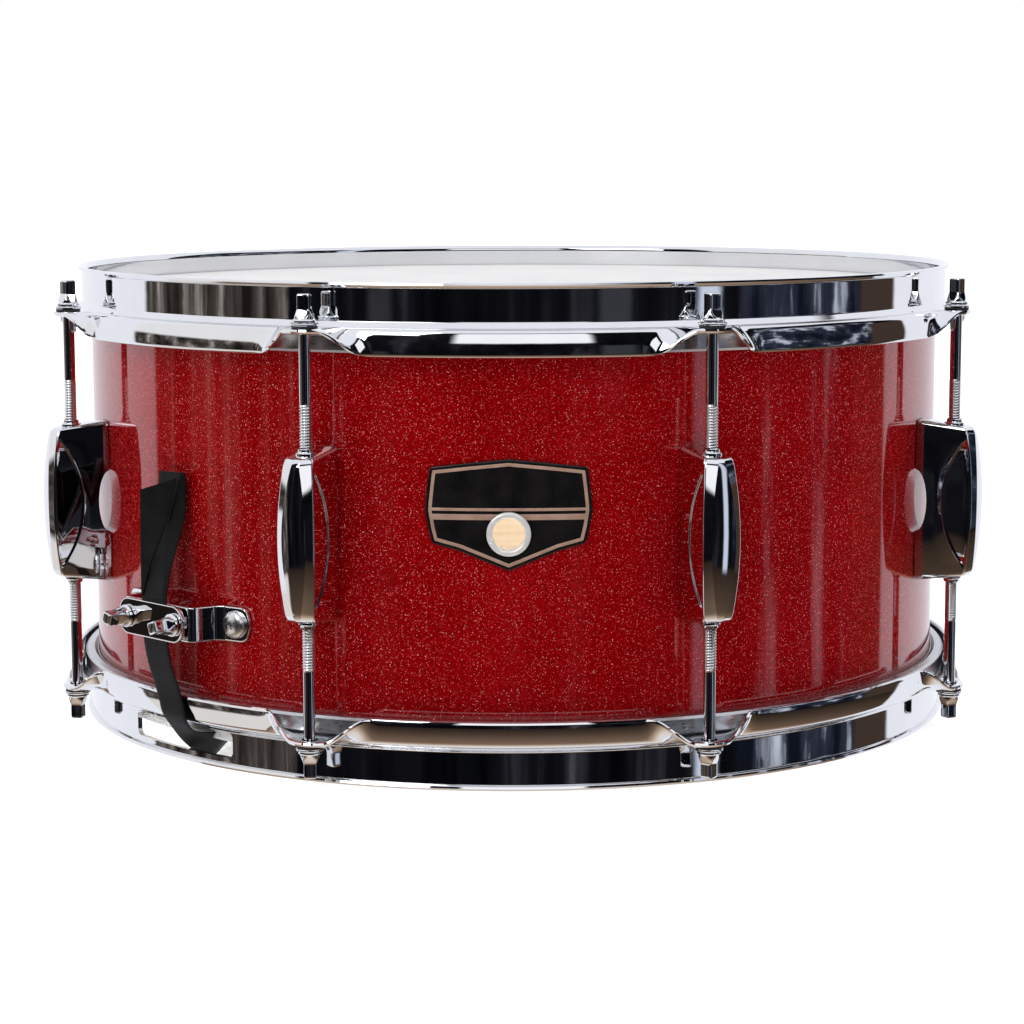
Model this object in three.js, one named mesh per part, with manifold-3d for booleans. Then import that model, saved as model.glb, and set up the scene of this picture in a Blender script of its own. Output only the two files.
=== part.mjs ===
// A 14 x 6.5 inch snare drum, in millimetres, +Z up.
// The drum stands on its bottom hoop at z = 0, and its axis is the Z axis. The badge faces -Y.
// An angle round the drum is counted in degrees from the badge, positive towards +X.

import * as THREE from "three";
import { mergeVertices } from "three/addons/utils/BufferGeometryUtils.js";
import Module from "manifold-3d";

const wasm = await Module();
wasm.setup();

// ---------- Driving dimensions ----------

const MID_Z = 92.5; // mid-plane of the shell above the floor
const GAP = 0.3; // clearance between pieces that touch on the real drum
const RING_SEGMENTS = 48; // facets of every plain ring

const SHELL_RADIUS = 175.9; // 14 inch shell, outside
const SHELL_THICKNESS = 6;
const SHELL_HALF_DEPTH = 82.55; // 6.5 inch deep shell
const WRAP_THICKNESS = 0.6;
const WRAP_RADIUS = SHELL_RADIUS + GAP + WRAP_THICKNESS;
const WRAP_HALF_DEPTH = 79.5;

const HEAD_THICKNESS = 0.5;
const HEAD_RADIUS = WRAP_RADIUS + GAP + HEAD_THICKNESS; // outside of the head's collar
const COLLAR_BOTTOM = 67.5; // heights marked "off mid-plane" are mirrored for the snare side
const FLESH_OUTER = 182.4;
const FLESH_TOP = 73.9;
const FLESH_BOTTOM = 67;

const HOOP_SHEET = 2; // steel sheet of the triple-flanged hoops
const HOOP_WALL_RADIUS = 180.5; // outside of the upright wall
const HOOP_TOP = MID_Z;
const RIM_RADIUS = 181.9; // outside of the rolled rim
const SHOULDER_Z = 79.6; // where the wall turns outwards, off mid-plane
const FLANGE_Z = 76.2; // top of the ears, off mid-plane
const FLANGE_START = 182.8; // radius where the flange leaves the shoulder
const BEND_RADIUS = 2.4;
const SKIRT_LENGTH = 8; // straight part of the flange between the ears, hanging down
const EAR_LENGTH = 13.2; // straight part of the flange at an ear, lying flat
const LUG_COUNT = 8;
const FIRST_LUG_ANGLE = 22.5;
const LUG_PITCH = 360 / LUG_COUNT;
const ROD_CIRCLE = 190.6; // radius on which the tension rods stand
const EAR_HOLE_RADIUS = 3.1;

const LUG_BACK = WRAP_RADIUS + GAP;
const LUG_HALF_HEIGHT_BACK = 32.3;
const LUG_HALF_HEIGHT_FRONT = 29.7;
const LUG_FRONT = 199;
const LUG_BULGE = 2.8; // how far the front bows out at mid-height
const LUG_WIDTH = 15; // at mid-height; the sides bow in towards the ends
const LUG_END_WIDTH = 11.2;
const LUG_ARCH_HALF_HEIGHT = 12.5;
const LUG_ARCH_DEPTH = 4.6;
const LUG_BORE_RADIUS = 2.9;
const LUG_BORE_END = 15.5;

const ROD_RADIUS = 2.4;
const ROD_END = 17;
const ROD_SEGMENTS = 8;
const ROD_FLANGE_RADIUS = 5.5;
const ROD_FLANGE_BOTTOM = FLANGE_Z + GAP;
const ROD_CONE_TOP = 81.4;
const KEY_TOP = 88.4; // top of the square head, off mid-plane
const KEY_WIDTH = 5.8;

const BADGE_THICKNESS = 0.7;
const VENT_HOLE_RADIUS = 5.9;
const VENT_FLANGE_RADIUS = 8.2;
const VENT_BORE_RADIUS = 7.5;
const VENT_Z = 1.9; // off mid-plane

const BUTT_ANGLE = -45;
const STRAINER_ANGLE = BUTT_ANGLE + 180;
const CLAMP_Z = -37; // height of both strap clamps, off mid-plane

const STRAP_WIDTH = 15;
const STRAP_THICKNESS = 0.8;

const GATE_HALF_WIDTH = 29.8;
const GATE_LOW = -88.2; // off mid-plane
const GATE_HIGH = -78.2;

const WIRE_COUNT = 20;
const WIRE_PITCH = 2.3;
const WIRE_SIZE = 1.2;
const WIRE_HALF_LENGTH = 139.7;
const WIRE_TOP = -(SHELL_HALF_DEPTH + GAP + HEAD_THICKNESS + GAP);
const END_PLATE_HALF_WIDTH = 24;
const END_PLATE_START = 140;
const END_PLATE_END = 150;

const BUTT_PLATE_X = 188.4; // inner face of the butt bracket's raised middle
const BRACKET_SHEET = 1.6;
const CLAMP_SHEET = 1.8;
const CLAMP_HOLE_RADIUS = 2.6;
const CLAMP_FLANGE_RADIUS = 5; // under the square head of a clamp screw
const CLAMP_CONE_HEIGHT = 4.2; // above the screw's flange
const CLAMP_HEAD_HEIGHT = 11.2;
const SCREW_SEGMENTS = 10;

// ---------- Materials ----------

function metal(colour, roughness) {
  return new THREE.MeshStandardMaterial({ color: colour, roughness, metalness: 1 });
}

function plain(colour, roughness) {
  return new THREE.MeshStandardMaterial({ color: colour, roughness, metalness: 0 });
}

const chrome = () => metal(0xd8dadf, 0.08);
const springSteel = () => metal(0xb9bcc0, 0.3);
const aluminium = () => metal(0xc4c6c8, 0.35);
const wood = () => plain(0xcfa878, 0.55);
const redSparkle = () => plain(0x9c0612, 0.12);
const coatedFilm = () => plain(0xf4f4f2, 0.6);
const clearFilm = () => plain(0xe2e6ea, 0.2);
const badgeBlack = () => plain(0x141212, 0.3);
const blackRibbon = () => plain(0x17171a, 0.7);

// ---------- Solids ----------

// A closed geometry as a manifold solid, turned inside out first if its faces point inwards.
function solid(geometry) {
  const bare = new THREE.BufferGeometry();
  const source = geometry.index ? geometry.toNonIndexed() : geometry;
  bare.setAttribute("position", source.getAttribute("position"));
  const merged = mergeVertices(bare, 1e-4);
  const corners = new Uint32Array(merged.index.array);
  const build = () =>
    new wasm.Manifold(
      new wasm.Mesh({
        numProp: 3,
        vertProperties: merged.getAttribute("position").array,
        triVerts: corners,
      }),
    );
  const made = build();
  if (made.volume() >= 0) return made;
  for (let i = 0; i < corners.length; i += 3) {
    [corners[i + 1], corners[i + 2]] = [corners[i + 2], corners[i + 1]];
  }
  return build();
}

function geometryOf(manifold) {
  const mesh = manifold.getMesh();
  const count = mesh.vertProperties.length / mesh.numProp;
  const positions = new Float32Array(count * 3);
  for (let i = 0; i < count; i++) {
    positions.set(mesh.vertProperties.subarray(i * mesh.numProp, i * mesh.numProp + 3), i * 3);
  }
  const geometry = new THREE.BufferGeometry();
  geometry.setAttribute("position", new THREE.BufferAttribute(positions, 3));
  geometry.setIndex(new THREE.BufferAttribute(new Uint32Array(mesh.triVerts), 1));
  const flat = geometry.toNonIndexed();
  flat.computeVertexNormals();
  return flat;
}

// Spans are [low, high] along each axis.
function box(x, y, z) {
  const made = new THREE.BoxGeometry(x[1] - x[0], y[1] - y[0], z[1] - z[0]);
  made.translate((x[0] + x[1]) / 2, (y[0] + y[1]) / 2, (z[0] + z[1]) / 2);
  return solid(made);
}

// A lathe about Z. points are [radius, z].
function turned(points, segments) {
  const profile = points.map(([radius, z]) => new THREE.Vector2(radius, z));
  const made = new THREE.LatheGeometry(profile, segments);
  made.rotateX(Math.PI / 2);
  return solid(made);
}

// A closed profile of [radius, z] turned about Z.
function ring(points, segments = RING_SEGMENTS) {
  return turned([...points, points[0]], segments);
}

function rod(radius, z, segments = SCREW_SEGMENTS) {
  return turned([[0, z[0]], [radius, z[0]], [radius, z[1]], [0, z[1]]], segments);
}

// Turns a piece made about Z so that it lies along local X, its +Z end pointing outwards.
function outward(manifold) {
  const geometry = geometryOf(manifold);
  geometry.rotateY(Math.PI / 2);
  return solid(geometry);
}

function moved(manifold, x, y, z) {
  const geometry = geometryOf(manifold);
  geometry.translate(x, y, z);
  return solid(geometry);
}

// Turns a piece from the local frame at an angle round the drum into the drum's frame.
function atAngle(manifold, angle) {
  const geometry = geometryOf(manifold);
  geometry.rotateZ(THREE.MathUtils.degToRad(angle - 90));
  return solid(geometry);
}

function unionOf(pieces) {
  return pieces.reduce((whole, piece) => whole.add(piece));
}

function shapeOf(points) {
  return new THREE.Shape(points.map(([a, b]) => new THREE.Vector2(a, b)));
}

function rectangle(x, y) {
  return [[x[0], y[0]], [x[1], y[0]], [x[1], y[1]], [x[0], y[1]]];
}

// An outline of [x, y] points extruded along Z.
function extrudedUp(points, z) {
  const made = new THREE.ExtrudeGeometry(shapeOf(points), { depth: z[1] - z[0], bevelEnabled: false });
  made.translate(0, 0, z[0]);
  return solid(made);
}

// An outline of [x, z] points extruded along Y.
function extrudedAcross(points, y) {
  const made = new THREE.ExtrudeGeometry(shapeOf(points), { depth: y[1] - y[0], bevelEnabled: false });
  made.rotateX(Math.PI / 2);
  made.translate(0, y[1], 0);
  return solid(made);
}

// An outline of [y, z] points extruded along X.
function extrudedOut(points, x) {
  const made = new THREE.ExtrudeGeometry(shapeOf(points), { depth: x[1] - x[0], bevelEnabled: false });
  made.rotateX(Math.PI / 2);
  made.rotateZ(Math.PI / 2);
  made.translate(x[0], 0, 0);
  return solid(made);
}

function arcPoints(centre, radii, from, to, steps) {
  return Array.from({ length: steps + 1 }, (_, i) => {
    const turn = THREE.MathUtils.degToRad(from + ((to - from) * i) / steps);
    return [centre[0] + radii[0] * Math.cos(turn), centre[1] + radii[1] * Math.sin(turn)];
  });
}

// A band of constant thickness that follows a path of 2D points, as a closed outline.
// The band lies on the left of the path as it is walked.
function band(path, thickness) {
  const directions = path.slice(1).map(([x, y], i) => {
    const step = new THREE.Vector2(x - path[i][0], y - path[i][1]);
    return step.normalize();
  });
  const offset = path.map(([x, y], i) => {
    const before = directions[Math.max(i - 1, 0)];
    const after = directions[Math.min(i, directions.length - 1)];
    const along = before.clone().add(after).normalize();
    const reach = thickness / along.dot(after);
    return [x - along.y * reach, y + along.x * reach];
  });
  return [...path, ...offset.reverse()];
}

// An outline with round ends, centred on the origin, in [y, z].
function roundedBar(halfLength, halfHeight, corner, steps = 3) {
  const [y, z] = [halfLength - corner, halfHeight - corner];
  return [
    ...arcPoints([y, z], [corner, corner], 0, 90, steps),
    ...arcPoints([-y, z], [corner, corner], 90, 180, steps),
    ...arcPoints([-y, -z], [corner, corner], 180, 270, steps),
    ...arcPoints([y, -z], [corner, corner], 270, 360, steps),
  ];
}

const mirrored = (points) => points.map(([radius, z]) => [radius, -z]);

// ---------- Scene graph ----------

const drum = new THREE.Group();
const assembly = new THREE.Group();
assembly.position.z = MID_Z;
drum.add(assembly);

function addMesh(name, manifold, material, parent = assembly) {
  const mesh = new THREE.Mesh(geometryOf(manifold), material);
  mesh.name = name;
  parent.add(mesh);
}

// In the local frame at an angle, X points out of the drum, Y to the right as seen from outside.
function localFrame(angle) {
  const group = new THREE.Group();
  group.rotation.z = THREE.MathUtils.degToRad(angle - 90);
  assembly.add(group);
  return group;
}

// ---------- Shell ----------

const BUTT_EAR_TURN = 9.8; // degrees either side of the butt's centre to its mounting screws
const STRAINER_SCREW_HEIGHTS = [-50, -14];
const MOUNT_SCREW_RADIUS = 2.1;
const MOUNT_HOLE_RADIUS = 2.7;

// The radial holes through shell and wrap: the vent and the four mounting screws.
function shellHoles() {
  const through = [SHELL_RADIUS - 20, SHELL_RADIUS + 20];
  const vent = atAngle(moved(outward(rod(VENT_BORE_RADIUS, through, 16)), 0, 0, VENT_Z), 0);
  const hole = (angle, z) => atAngle(moved(outward(rod(MOUNT_HOLE_RADIUS, through)), 0, 0, z), angle);
  return [
    vent,
    hole(BUTT_ANGLE - BUTT_EAR_TURN, CLAMP_Z),
    hole(BUTT_ANGLE + BUTT_EAR_TURN, CLAMP_Z),
    ...STRAINER_SCREW_HEIGHTS.map((z) => hole(STRAINER_ANGLE, z)),
  ];
}

function drilled(manifold) {
  return shellHoles().reduce((left, hole) => left.subtract(hole), manifold);
}

// The bearing edges are cut at 45 degrees inwards, with a small round-over outside.
function makeShell() {
  const inner = SHELL_RADIUS - SHELL_THICKNESS;
  const edge = inner + 3.2; // crest of the bearing edge
  const outside = [
    [SHELL_RADIUS, SHELL_HALF_DEPTH - 2.4],
    [edge, SHELL_HALF_DEPTH],
    [inner, SHELL_HALF_DEPTH - 3.4],
  ];
  const shell = ring([...outside, ...mirrored([...outside].reverse())]);
  addMesh("shell", drilled(shell), wood());

  const inside = SHELL_RADIUS + GAP;
  const wrap = ring([
    [inside, -WRAP_HALF_DEPTH],
    [WRAP_RADIUS, -WRAP_HALF_DEPTH],
    [WRAP_RADIUS, WRAP_HALF_DEPTH],
    [inside, WRAP_HALF_DEPTH],
  ]);
  addMesh("shell_wrap", drilled(wrap), redSparkle());
}

// ---------- Heads ----------

// A film disc that folds down over the bearing edge, held in a flesh hoop.
function makeHead(name, side, material) {
  const under = SHELL_HALF_DEPTH + GAP;
  const top = under + HEAD_THICKNESS;
  const collar = HEAD_RADIUS - HEAD_THICKNESS;
  const film = [
    [0, under],
    [collar - 1.6, under],
    [collar, under - 2.2],
    [collar, COLLAR_BOTTOM],
    [HEAD_RADIUS, COLLAR_BOTTOM],
    [HEAD_RADIUS, under - 1.9],
    [collar - 1.3, top],
    [0, top],
  ];
  const flesh = [
    [HEAD_RADIUS + GAP, FLESH_BOTTOM],
    [FLESH_OUTER, FLESH_BOTTOM],
    [FLESH_OUTER, FLESH_TOP],
    [HEAD_RADIUS + GAP, FLESH_TOP],
  ];
  const turn = side > 0 ? (points) => points : mirrored;
  addMesh(name + "_head", turned(turn(film), RING_SEGMENTS), material);
  addMesh(name + "_flesh_hoop", ring(turn(flesh)), aluminium());
}

// ---------- Hoops ----------

// Angles from an ear's centre at which the hoop's section is set out, up to half the lug pitch.
const EAR_STATIONS = [0, 2.1, 3.4, 4.8, 6.8, 14.5, 22.5];
const EAR_FLAT = 2.1; // half-angle of the flat of an ear
const EAR_FADE = 6.8; // half-angle where the flange hangs straight down again

// 1 at the ear, 0 where the flange is a plain hanging skirt.
function earShare(offset) {
  return 1 - THREE.MathUtils.smoothstep(Math.abs(offset), EAR_FLAT, EAR_FADE);
}

// The hoop's section at an offset in degrees from the nearest ear, as closed [radius, z] points.
function hoopSection(offset) {
  const share = earShare(offset);
  const droop = (Math.PI / 2) * (1 - share);
  const length = THREE.MathUtils.lerp(SKIRT_LENGTH, EAR_LENGTH, share);
  const along = [Math.cos(droop), -Math.sin(droop)];
  const across = [Math.sin(droop), Math.cos(droop)];
  const centre = [FLANGE_START, FLANGE_Z - BEND_RADIUS];
  const inset = BEND_RADIUS - HOOP_SHEET;
  const point = (radius, reach) => [
    centre[0] + across[0] * radius + along[0] * reach,
    centre[1] + across[1] * radius + along[1] * reach,
  ];
  const half = droop / 2;
  const bend = (radius) => [centre[0] + Math.sin(half) * radius, centre[1] + Math.cos(half) * radius];
  const inner = HOOP_WALL_RADIUS - HOOP_SHEET;
  return [
    [inner, HOOP_TOP],
    [RIM_RADIUS, HOOP_TOP],
    [HOOP_WALL_RADIUS, HOOP_TOP - 2],
    [HOOP_WALL_RADIUS, SHOULDER_Z],
    [FLANGE_START, FLANGE_Z],
    bend(BEND_RADIUS),
    point(BEND_RADIUS, 0),
    point(BEND_RADIUS, length),
    point(inset, length),
    point(inset, 0),
    [inner, SHOULDER_Z - 2.2],
  ];
}

function makeHoop(name, side) {
  const sector = [...EAR_STATIONS.slice(1, -1).reverse().map((a) => -a), ...EAR_STATIONS];
  const stations = [];
  for (let lug = 0; lug < LUG_COUNT; lug++) {
    const ear = FIRST_LUG_ANGLE + lug * LUG_PITCH;
    sector.forEach((offset) => stations.push([ear + offset, offset]));
  }
  const sections = stations.map(([angle, offset]) => {
    const turn = THREE.MathUtils.degToRad(angle - 90);
    return hoopSection(offset).map(([radius, z]) => [
      radius * Math.cos(turn),
      radius * Math.sin(turn),
      side * z,
    ]);
  });
  const positions = [];
  sections.forEach((section, i) => {
    const next = sections[(i + 1) % sections.length];
    section.forEach((corner, k) => {
      const j = (k + 1) % section.length;
      positions.push(...corner, ...section[j], ...next[j]);
      positions.push(...corner, ...next[j], ...next[k]);
    });
  });
  const geometry = new THREE.BufferGeometry();
  geometry.setAttribute("position", new THREE.Float32BufferAttribute(positions, 3));
  let hoop = solid(geometry);
  const reach = side > 0 ? [FLANGE_Z - 8, FLANGE_Z + 8] : [-FLANGE_Z - 8, -FLANGE_Z + 8];
  for (let lug = 0; lug < LUG_COUNT; lug++) {
    const hole = moved(rod(EAR_HOLE_RADIUS, reach), ROD_CIRCLE, 0, 0);
    hoop = hoop.subtract(atAngle(hole, FIRST_LUG_ANGLE + lug * LUG_PITCH));
  }
  if (side < 0) {
    const gate = box(
      [HOOP_WALL_RADIUS - 8, HOOP_WALL_RADIUS + 6],
      [-GATE_HALF_WIDTH, GATE_HALF_WIDTH],
      [GATE_LOW, GATE_HIGH],
    );
    hoop = hoop.subtract(atAngle(gate, BUTT_ANGLE)).subtract(atAngle(gate, STRAINER_ANGLE));
  }
  addMesh(name, hoop, chrome());
}

// ---------- Lugs and tension rods ----------

function makeLug(name, angle) {
  const back = LUG_HALF_HEIGHT_BACK;
  const front = LUG_HALF_HEIGHT_FRONT;
  const bow = (z) => LUG_FRONT + LUG_BULGE * (1 - (z / front) ** 2);
  const frontHeights = [-front, -front / 2, 0, front / 2, front];
  const side = [
    [LUG_BACK, -back],
    ...frontHeights.map((z) => [bow(z), z]),
    [LUG_BACK, back],
    ...arcPoints([LUG_BACK, 0], [LUG_ARCH_DEPTH, LUG_ARCH_HALF_HEIGHT], 90, -90, 6),
  ];
  const wide = (z) => LUG_END_WIDTH / 2 + ((LUG_WIDTH - LUG_END_WIDTH) / 2) * (1 - (z / back) ** 2);
  const heights = [-back, -back / 2, 0, back / 2, back];
  const lens = extrudedOut(
    [...heights.map((z) => [wide(z), z]), ...[...heights].reverse().map((z) => [-wide(z), z])],
    [LUG_BACK - 1, LUG_FRONT + 10],
  );
  const body = extrudedAcross(side, [-LUG_WIDTH, LUG_WIDTH]).intersect(lens);
  const bores = [1, -1].map((way) => {
    const depth = way > 0 ? [LUG_BORE_END, back + 5] : [-back - 5, -LUG_BORE_END];
    return moved(rod(LUG_BORE_RADIUS, depth), ROD_CIRCLE, 0, 0);
  });
  const lug = body.subtract(bores[0]).subtract(bores[1]);
  addMesh(name, lug, chrome(), localFrame(angle));
}

function keyHead(coneTop, keyTop) {
  const half = KEY_WIDTH / 2;
  return box([-half, half], [-half, half], [coneTop - 0.4, keyTop]);
}

// The square-headed rod passes through the hoop's ear and screws into the lug.
function makeTensionRod(name, angle, side) {
  const stem = turned(
    [
      [0, ROD_END],
      [ROD_RADIUS, ROD_END],
      [ROD_RADIUS, ROD_FLANGE_BOTTOM],
      [ROD_FLANGE_RADIUS, ROD_FLANGE_BOTTOM],
      [ROD_FLANGE_RADIUS, ROD_FLANGE_BOTTOM + 1.7],
      [3.4, ROD_CONE_TOP],
      [0, ROD_CONE_TOP],
    ],
    ROD_SEGMENTS,
  );
  let piece = geometryOf(stem.add(keyHead(ROD_CONE_TOP, KEY_TOP)));
  if (side < 0) piece.rotateX(Math.PI);
  piece.translate(ROD_CIRCLE, 0, 0);
  addMesh(name, solid(piece), chrome(), localFrame(angle));
}

// ---------- Badge and vent ----------

// A shield with a flat-shouldered top and a shallow pointed foot, curved to the shell.
function makeBadge() {
  const [halfTop, halfWaist, halfFoot] = [28.6, 30.4, 27.8];
  const outline = [
    [0, 29],
    [halfTop, 26],
    [halfWaist, 11.3],
    [halfFoot, -1.7],
    [0, -11.7],
    [-halfFoot, -1.7],
    [-halfWaist, 11.3],
    [-halfTop, 26],
  ];
  const inner = LUG_BACK + 0.1;
  const outer = inner + BADGE_THICKNESS;
  const sheet = extrudedUp(
    [
      ...arcPoints([0, 0], [outer, outer], -12, 12, 12),
      ...arcPoints([0, 0], [inner, inner], 12, -12, 12),
    ],
    [-20, 35],
  );
  const plate = sheet.intersect(extrudedOut(outline, [inner - 20, outer + 20]));
  const hole = moved(outward(rod(VENT_BORE_RADIUS, [inner - 20, outer + 20], 16)), 0, 0, VENT_Z);
  addMesh("badge", plate.subtract(hole), badgeBlack(), localFrame(0));

  const face = outer + GAP;
  const tubeRadius = VENT_BORE_RADIUS - 0.6;
  const inside = SHELL_RADIUS - SHELL_THICKNESS - 1;
  const grommet = ring(
    [
      [VENT_HOLE_RADIUS, inside - 1.2],
      [VENT_FLANGE_RADIUS, inside - 1.2],
      [VENT_FLANGE_RADIUS, inside],
      [tubeRadius, inside],
      [tubeRadius, face],
      [VENT_FLANGE_RADIUS, face],
      [VENT_FLANGE_RADIUS - 0.8, face + 1.1],
      [VENT_HOLE_RADIUS, face + 1.1],
    ],
    16,
  );
  addMesh("vent_grommet", moved(outward(grommet), 0, 0, VENT_Z), chrome(), localFrame(0));
}

// ---------- Strap clamps ----------

// A drum-key screw lying along local X: threaded shank, flange, cone and square head.
function keyScrew(flangeX, shankLength) {
  const stem = turned(
    [
      [0, -shankLength],
      [MOUNT_SCREW_RADIUS, -shankLength],
      [MOUNT_SCREW_RADIUS, 0],
      [CLAMP_FLANGE_RADIUS, 0],
      [CLAMP_FLANGE_RADIUS, 1.4],
      [3.3, CLAMP_CONE_HEIGHT],
      [0, CLAMP_CONE_HEIGHT],
    ],
    SCREW_SEGMENTS,
  );
  return moved(outward(stem.add(keyHead(CLAMP_CONE_HEIGHT, CLAMP_HEAD_HEIGHT))), flangeX, 0, 0);
}

// A round-headed screw lying along local X, its head on the outside.
function roundScrew(headX, shankEnd) {
  const shank = headX - shankEnd;
  const stem = turned(
    [
      [0, -shank],
      [MOUNT_SCREW_RADIUS, -shank],
      [MOUNT_SCREW_RADIUS, 0],
      [4.4, 0],
      [4.2, 1.5],
      [2.4, 2.6],
      [0, 2.9],
    ],
    SCREW_SEGMENTS,
  );
  return moved(outward(stem), headX, 0, 0);
}

// A woven ribbon set out by its side view, a path of [x, z] points.
function ribbon(path) {
  return extrudedAcross(band(path, STRAP_THICKNESS), [-STRAP_WIDTH / 2, STRAP_WIDTH / 2]);
}

// A strap's side view below its clamp: down over the hoop's skirt, in through the gate, and along
// under the snare head to the wires.
const STRAP_RUN = [
  [187.4, -65],
  [186.2, -68.5],
  [186.2, -74.8],
  [184.6, -79.2],
  [180.8, -82.6],
  [176, WIRE_TOP],
  [END_PLATE_END + GAP, WIRE_TOP],
];

// ---------- Butt end ----------

const BUTT_CLAMP_HALF_LENGTH = 19.5;
const BUTT_CLAMP_HALF_HEIGHT = 7;
const BUTT_SCREW_Y = 14.3;
const BUTT_BOLT_HEAD = 179.5; // radius at which the mounting screws' heads sit
const BUTT_BOLT_END = 172;
const BRACKET_HALF_HEIGHT = 6.6;
const BRACKET_HALF_PATH = [ // plan view of half the bracket: raised middle, step down, ear on the shell
  [BUTT_PLATE_X, 0],
  [BUTT_PLATE_X, 19],
  [186.6, 21.2],
  [178.2, 22.6],
  [175.9, 24.6],
  [173.5, 37],
];
const BUTT_TAIL_TOP = 55; // the ribbon's free end stands this far above the clamp
const BUTT_TAIL_LEAN = 5; // and leans this far in towards the shell

function makeButtEnd() {
  const frame = localFrame(BUTT_ANGLE);
  const bracketOuter = BUTT_PLATE_X + BRACKET_SHEET;
  const lower = BRACKET_HALF_PATH.slice(1).reverse().map(([x, y]) => [x, -y]);
  const path = [...lower, ...BRACKET_HALF_PATH].reverse();
  const height = [CLAMP_Z - BRACKET_HALF_HEIGHT, CLAMP_Z + BRACKET_HALF_HEIGHT];
  const screwHole = (y) => moved(outward(rod(CLAMP_HOLE_RADIUS, [170, 200])), 0, y, CLAMP_Z);
  let bracket = extrudedUp(band(path, BRACKET_SHEET), height);
  [-BUTT_SCREW_Y, BUTT_SCREW_Y].forEach((y) => {
    bracket = bracket.subtract(screwHole(y));
  });
  [-BUTT_EAR_TURN, BUTT_EAR_TURN].forEach((turn) => {
    const hole = moved(outward(rod(MOUNT_HOLE_RADIUS, [165, 184])), 0, 0, CLAMP_Z);
    const geometry = geometryOf(hole);
    geometry.rotateZ(THREE.MathUtils.degToRad(turn));
    bracket = bracket.subtract(solid(geometry));
  });
  addMesh("butt_bracket", bracket, chrome(), frame);

  const strapX = bracketOuter + GAP;
  const plateX = strapX + STRAP_THICKNESS + GAP;
  let plate = extrudedOut(
    roundedBar(BUTT_CLAMP_HALF_LENGTH, BUTT_CLAMP_HALF_HEIGHT, 5.5),
    [plateX, plateX + CLAMP_SHEET],
  );
  plate = moved(plate, 0, 0, CLAMP_Z);
  [-BUTT_SCREW_Y, BUTT_SCREW_Y].forEach((y) => {
    plate = plate.subtract(screwHole(y));
  });
  addMesh("butt_clamp_plate", plate, chrome(), frame);

  const screwX = plateX + CLAMP_SHEET + GAP;
  ["left", "right"].forEach((side, i) => {
    const y = i ? BUTT_SCREW_Y : -BUTT_SCREW_Y;
    const screw = moved(keyScrew(screwX, 9), 0, y, CLAMP_Z);
    addMesh("butt_clamp_screw_" + side, screw, chrome(), frame);
    const turn = i ? BUTT_EAR_TURN : -BUTT_EAR_TURN;
    const bolt = moved(roundScrew(BUTT_BOLT_HEAD, BUTT_BOLT_END), 0, 0, CLAMP_Z);
    addMesh("butt_mount_screw_" + side, bolt, chrome(), localFrame(BUTT_ANGLE + turn));
  });

  const strap = [
    [strapX - BUTT_TAIL_LEAN, CLAMP_Z + BUTT_TAIL_TOP],
    [strapX - BUTT_TAIL_LEAN + 0.6, CLAMP_Z + BUTT_TAIL_TOP - 10],
    [strapX, CLAMP_Z + 10],
    [strapX, CLAMP_Z - 8],
    ...STRAP_RUN,
  ];
  addMesh("butt_strap", ribbon(strap), blackRibbon(), frame);
}

// ---------- Strainer (throw-off) ----------

const CARRIAGE_HALF = 14;
const CARRIAGE_TOP = -8;
const CARRIAGE_BOTTOM = -54;
const CARRIAGE_BACK = 180.5;
const CARRIAGE_FRONT = 192;
const CARRIAGE_WALL = 3; // the carriage is hollow behind, above the clamp
const CARRIAGE_POCKET_BOTTOM = -36;
const CHEEK_INNER = CARRIAGE_HALF + 0.4;
const CHEEK_OUTER = CHEEK_INNER + 2.6;
const BASE_BOTTOM = -58;
const BASE_TOP = 8;
const BASE_FRONT = 180.1;
const PIVOT_X = 192;
const PIVOT_Z = -2;
const PIVOT_RADIUS = 1.8;
const HUB_RADIUS = 4.5;
const KNOB_X = 184.8;
const KNOB_RADIUS = 6.2;
const KNOB_STEM = 1.9;
const STRAINER_CLAMP_Z = -47;
const STRAINER_SCREW_Y = 10.6;
const CHEEK_OUTLINE = [ // side view, [radius, height]
  [LUG_BACK, BASE_BOTTOM],
  [188, BASE_BOTTOM],
  [190, BASE_BOTTOM + 6],
  [190, -16],
  [197.5, -8],
  [197.5, 3],
  [193, BASE_TOP],
  [LUG_BACK, BASE_TOP],
];
const LEVER_SIDE = [ // side view of the arm: thin blade with a hooked finger rest
  [191.4, PIVOT_Z],
  [196, PIVOT_Z],
  [194.6, 12],
  [194.6, 36],
  [196.4, 43],
  [200.4, 49],
  [198.2, 51.4],
  [193.6, 45.4],
  [191.4, 37],
];
const LEVER_HALF_FRONT = [ // half of its tapering front view, [half width, height]
  [9.5, PIVOT_Z],
  [9.5, 12],
  [6.5, 40],
  [4.5, 52],
];

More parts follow.
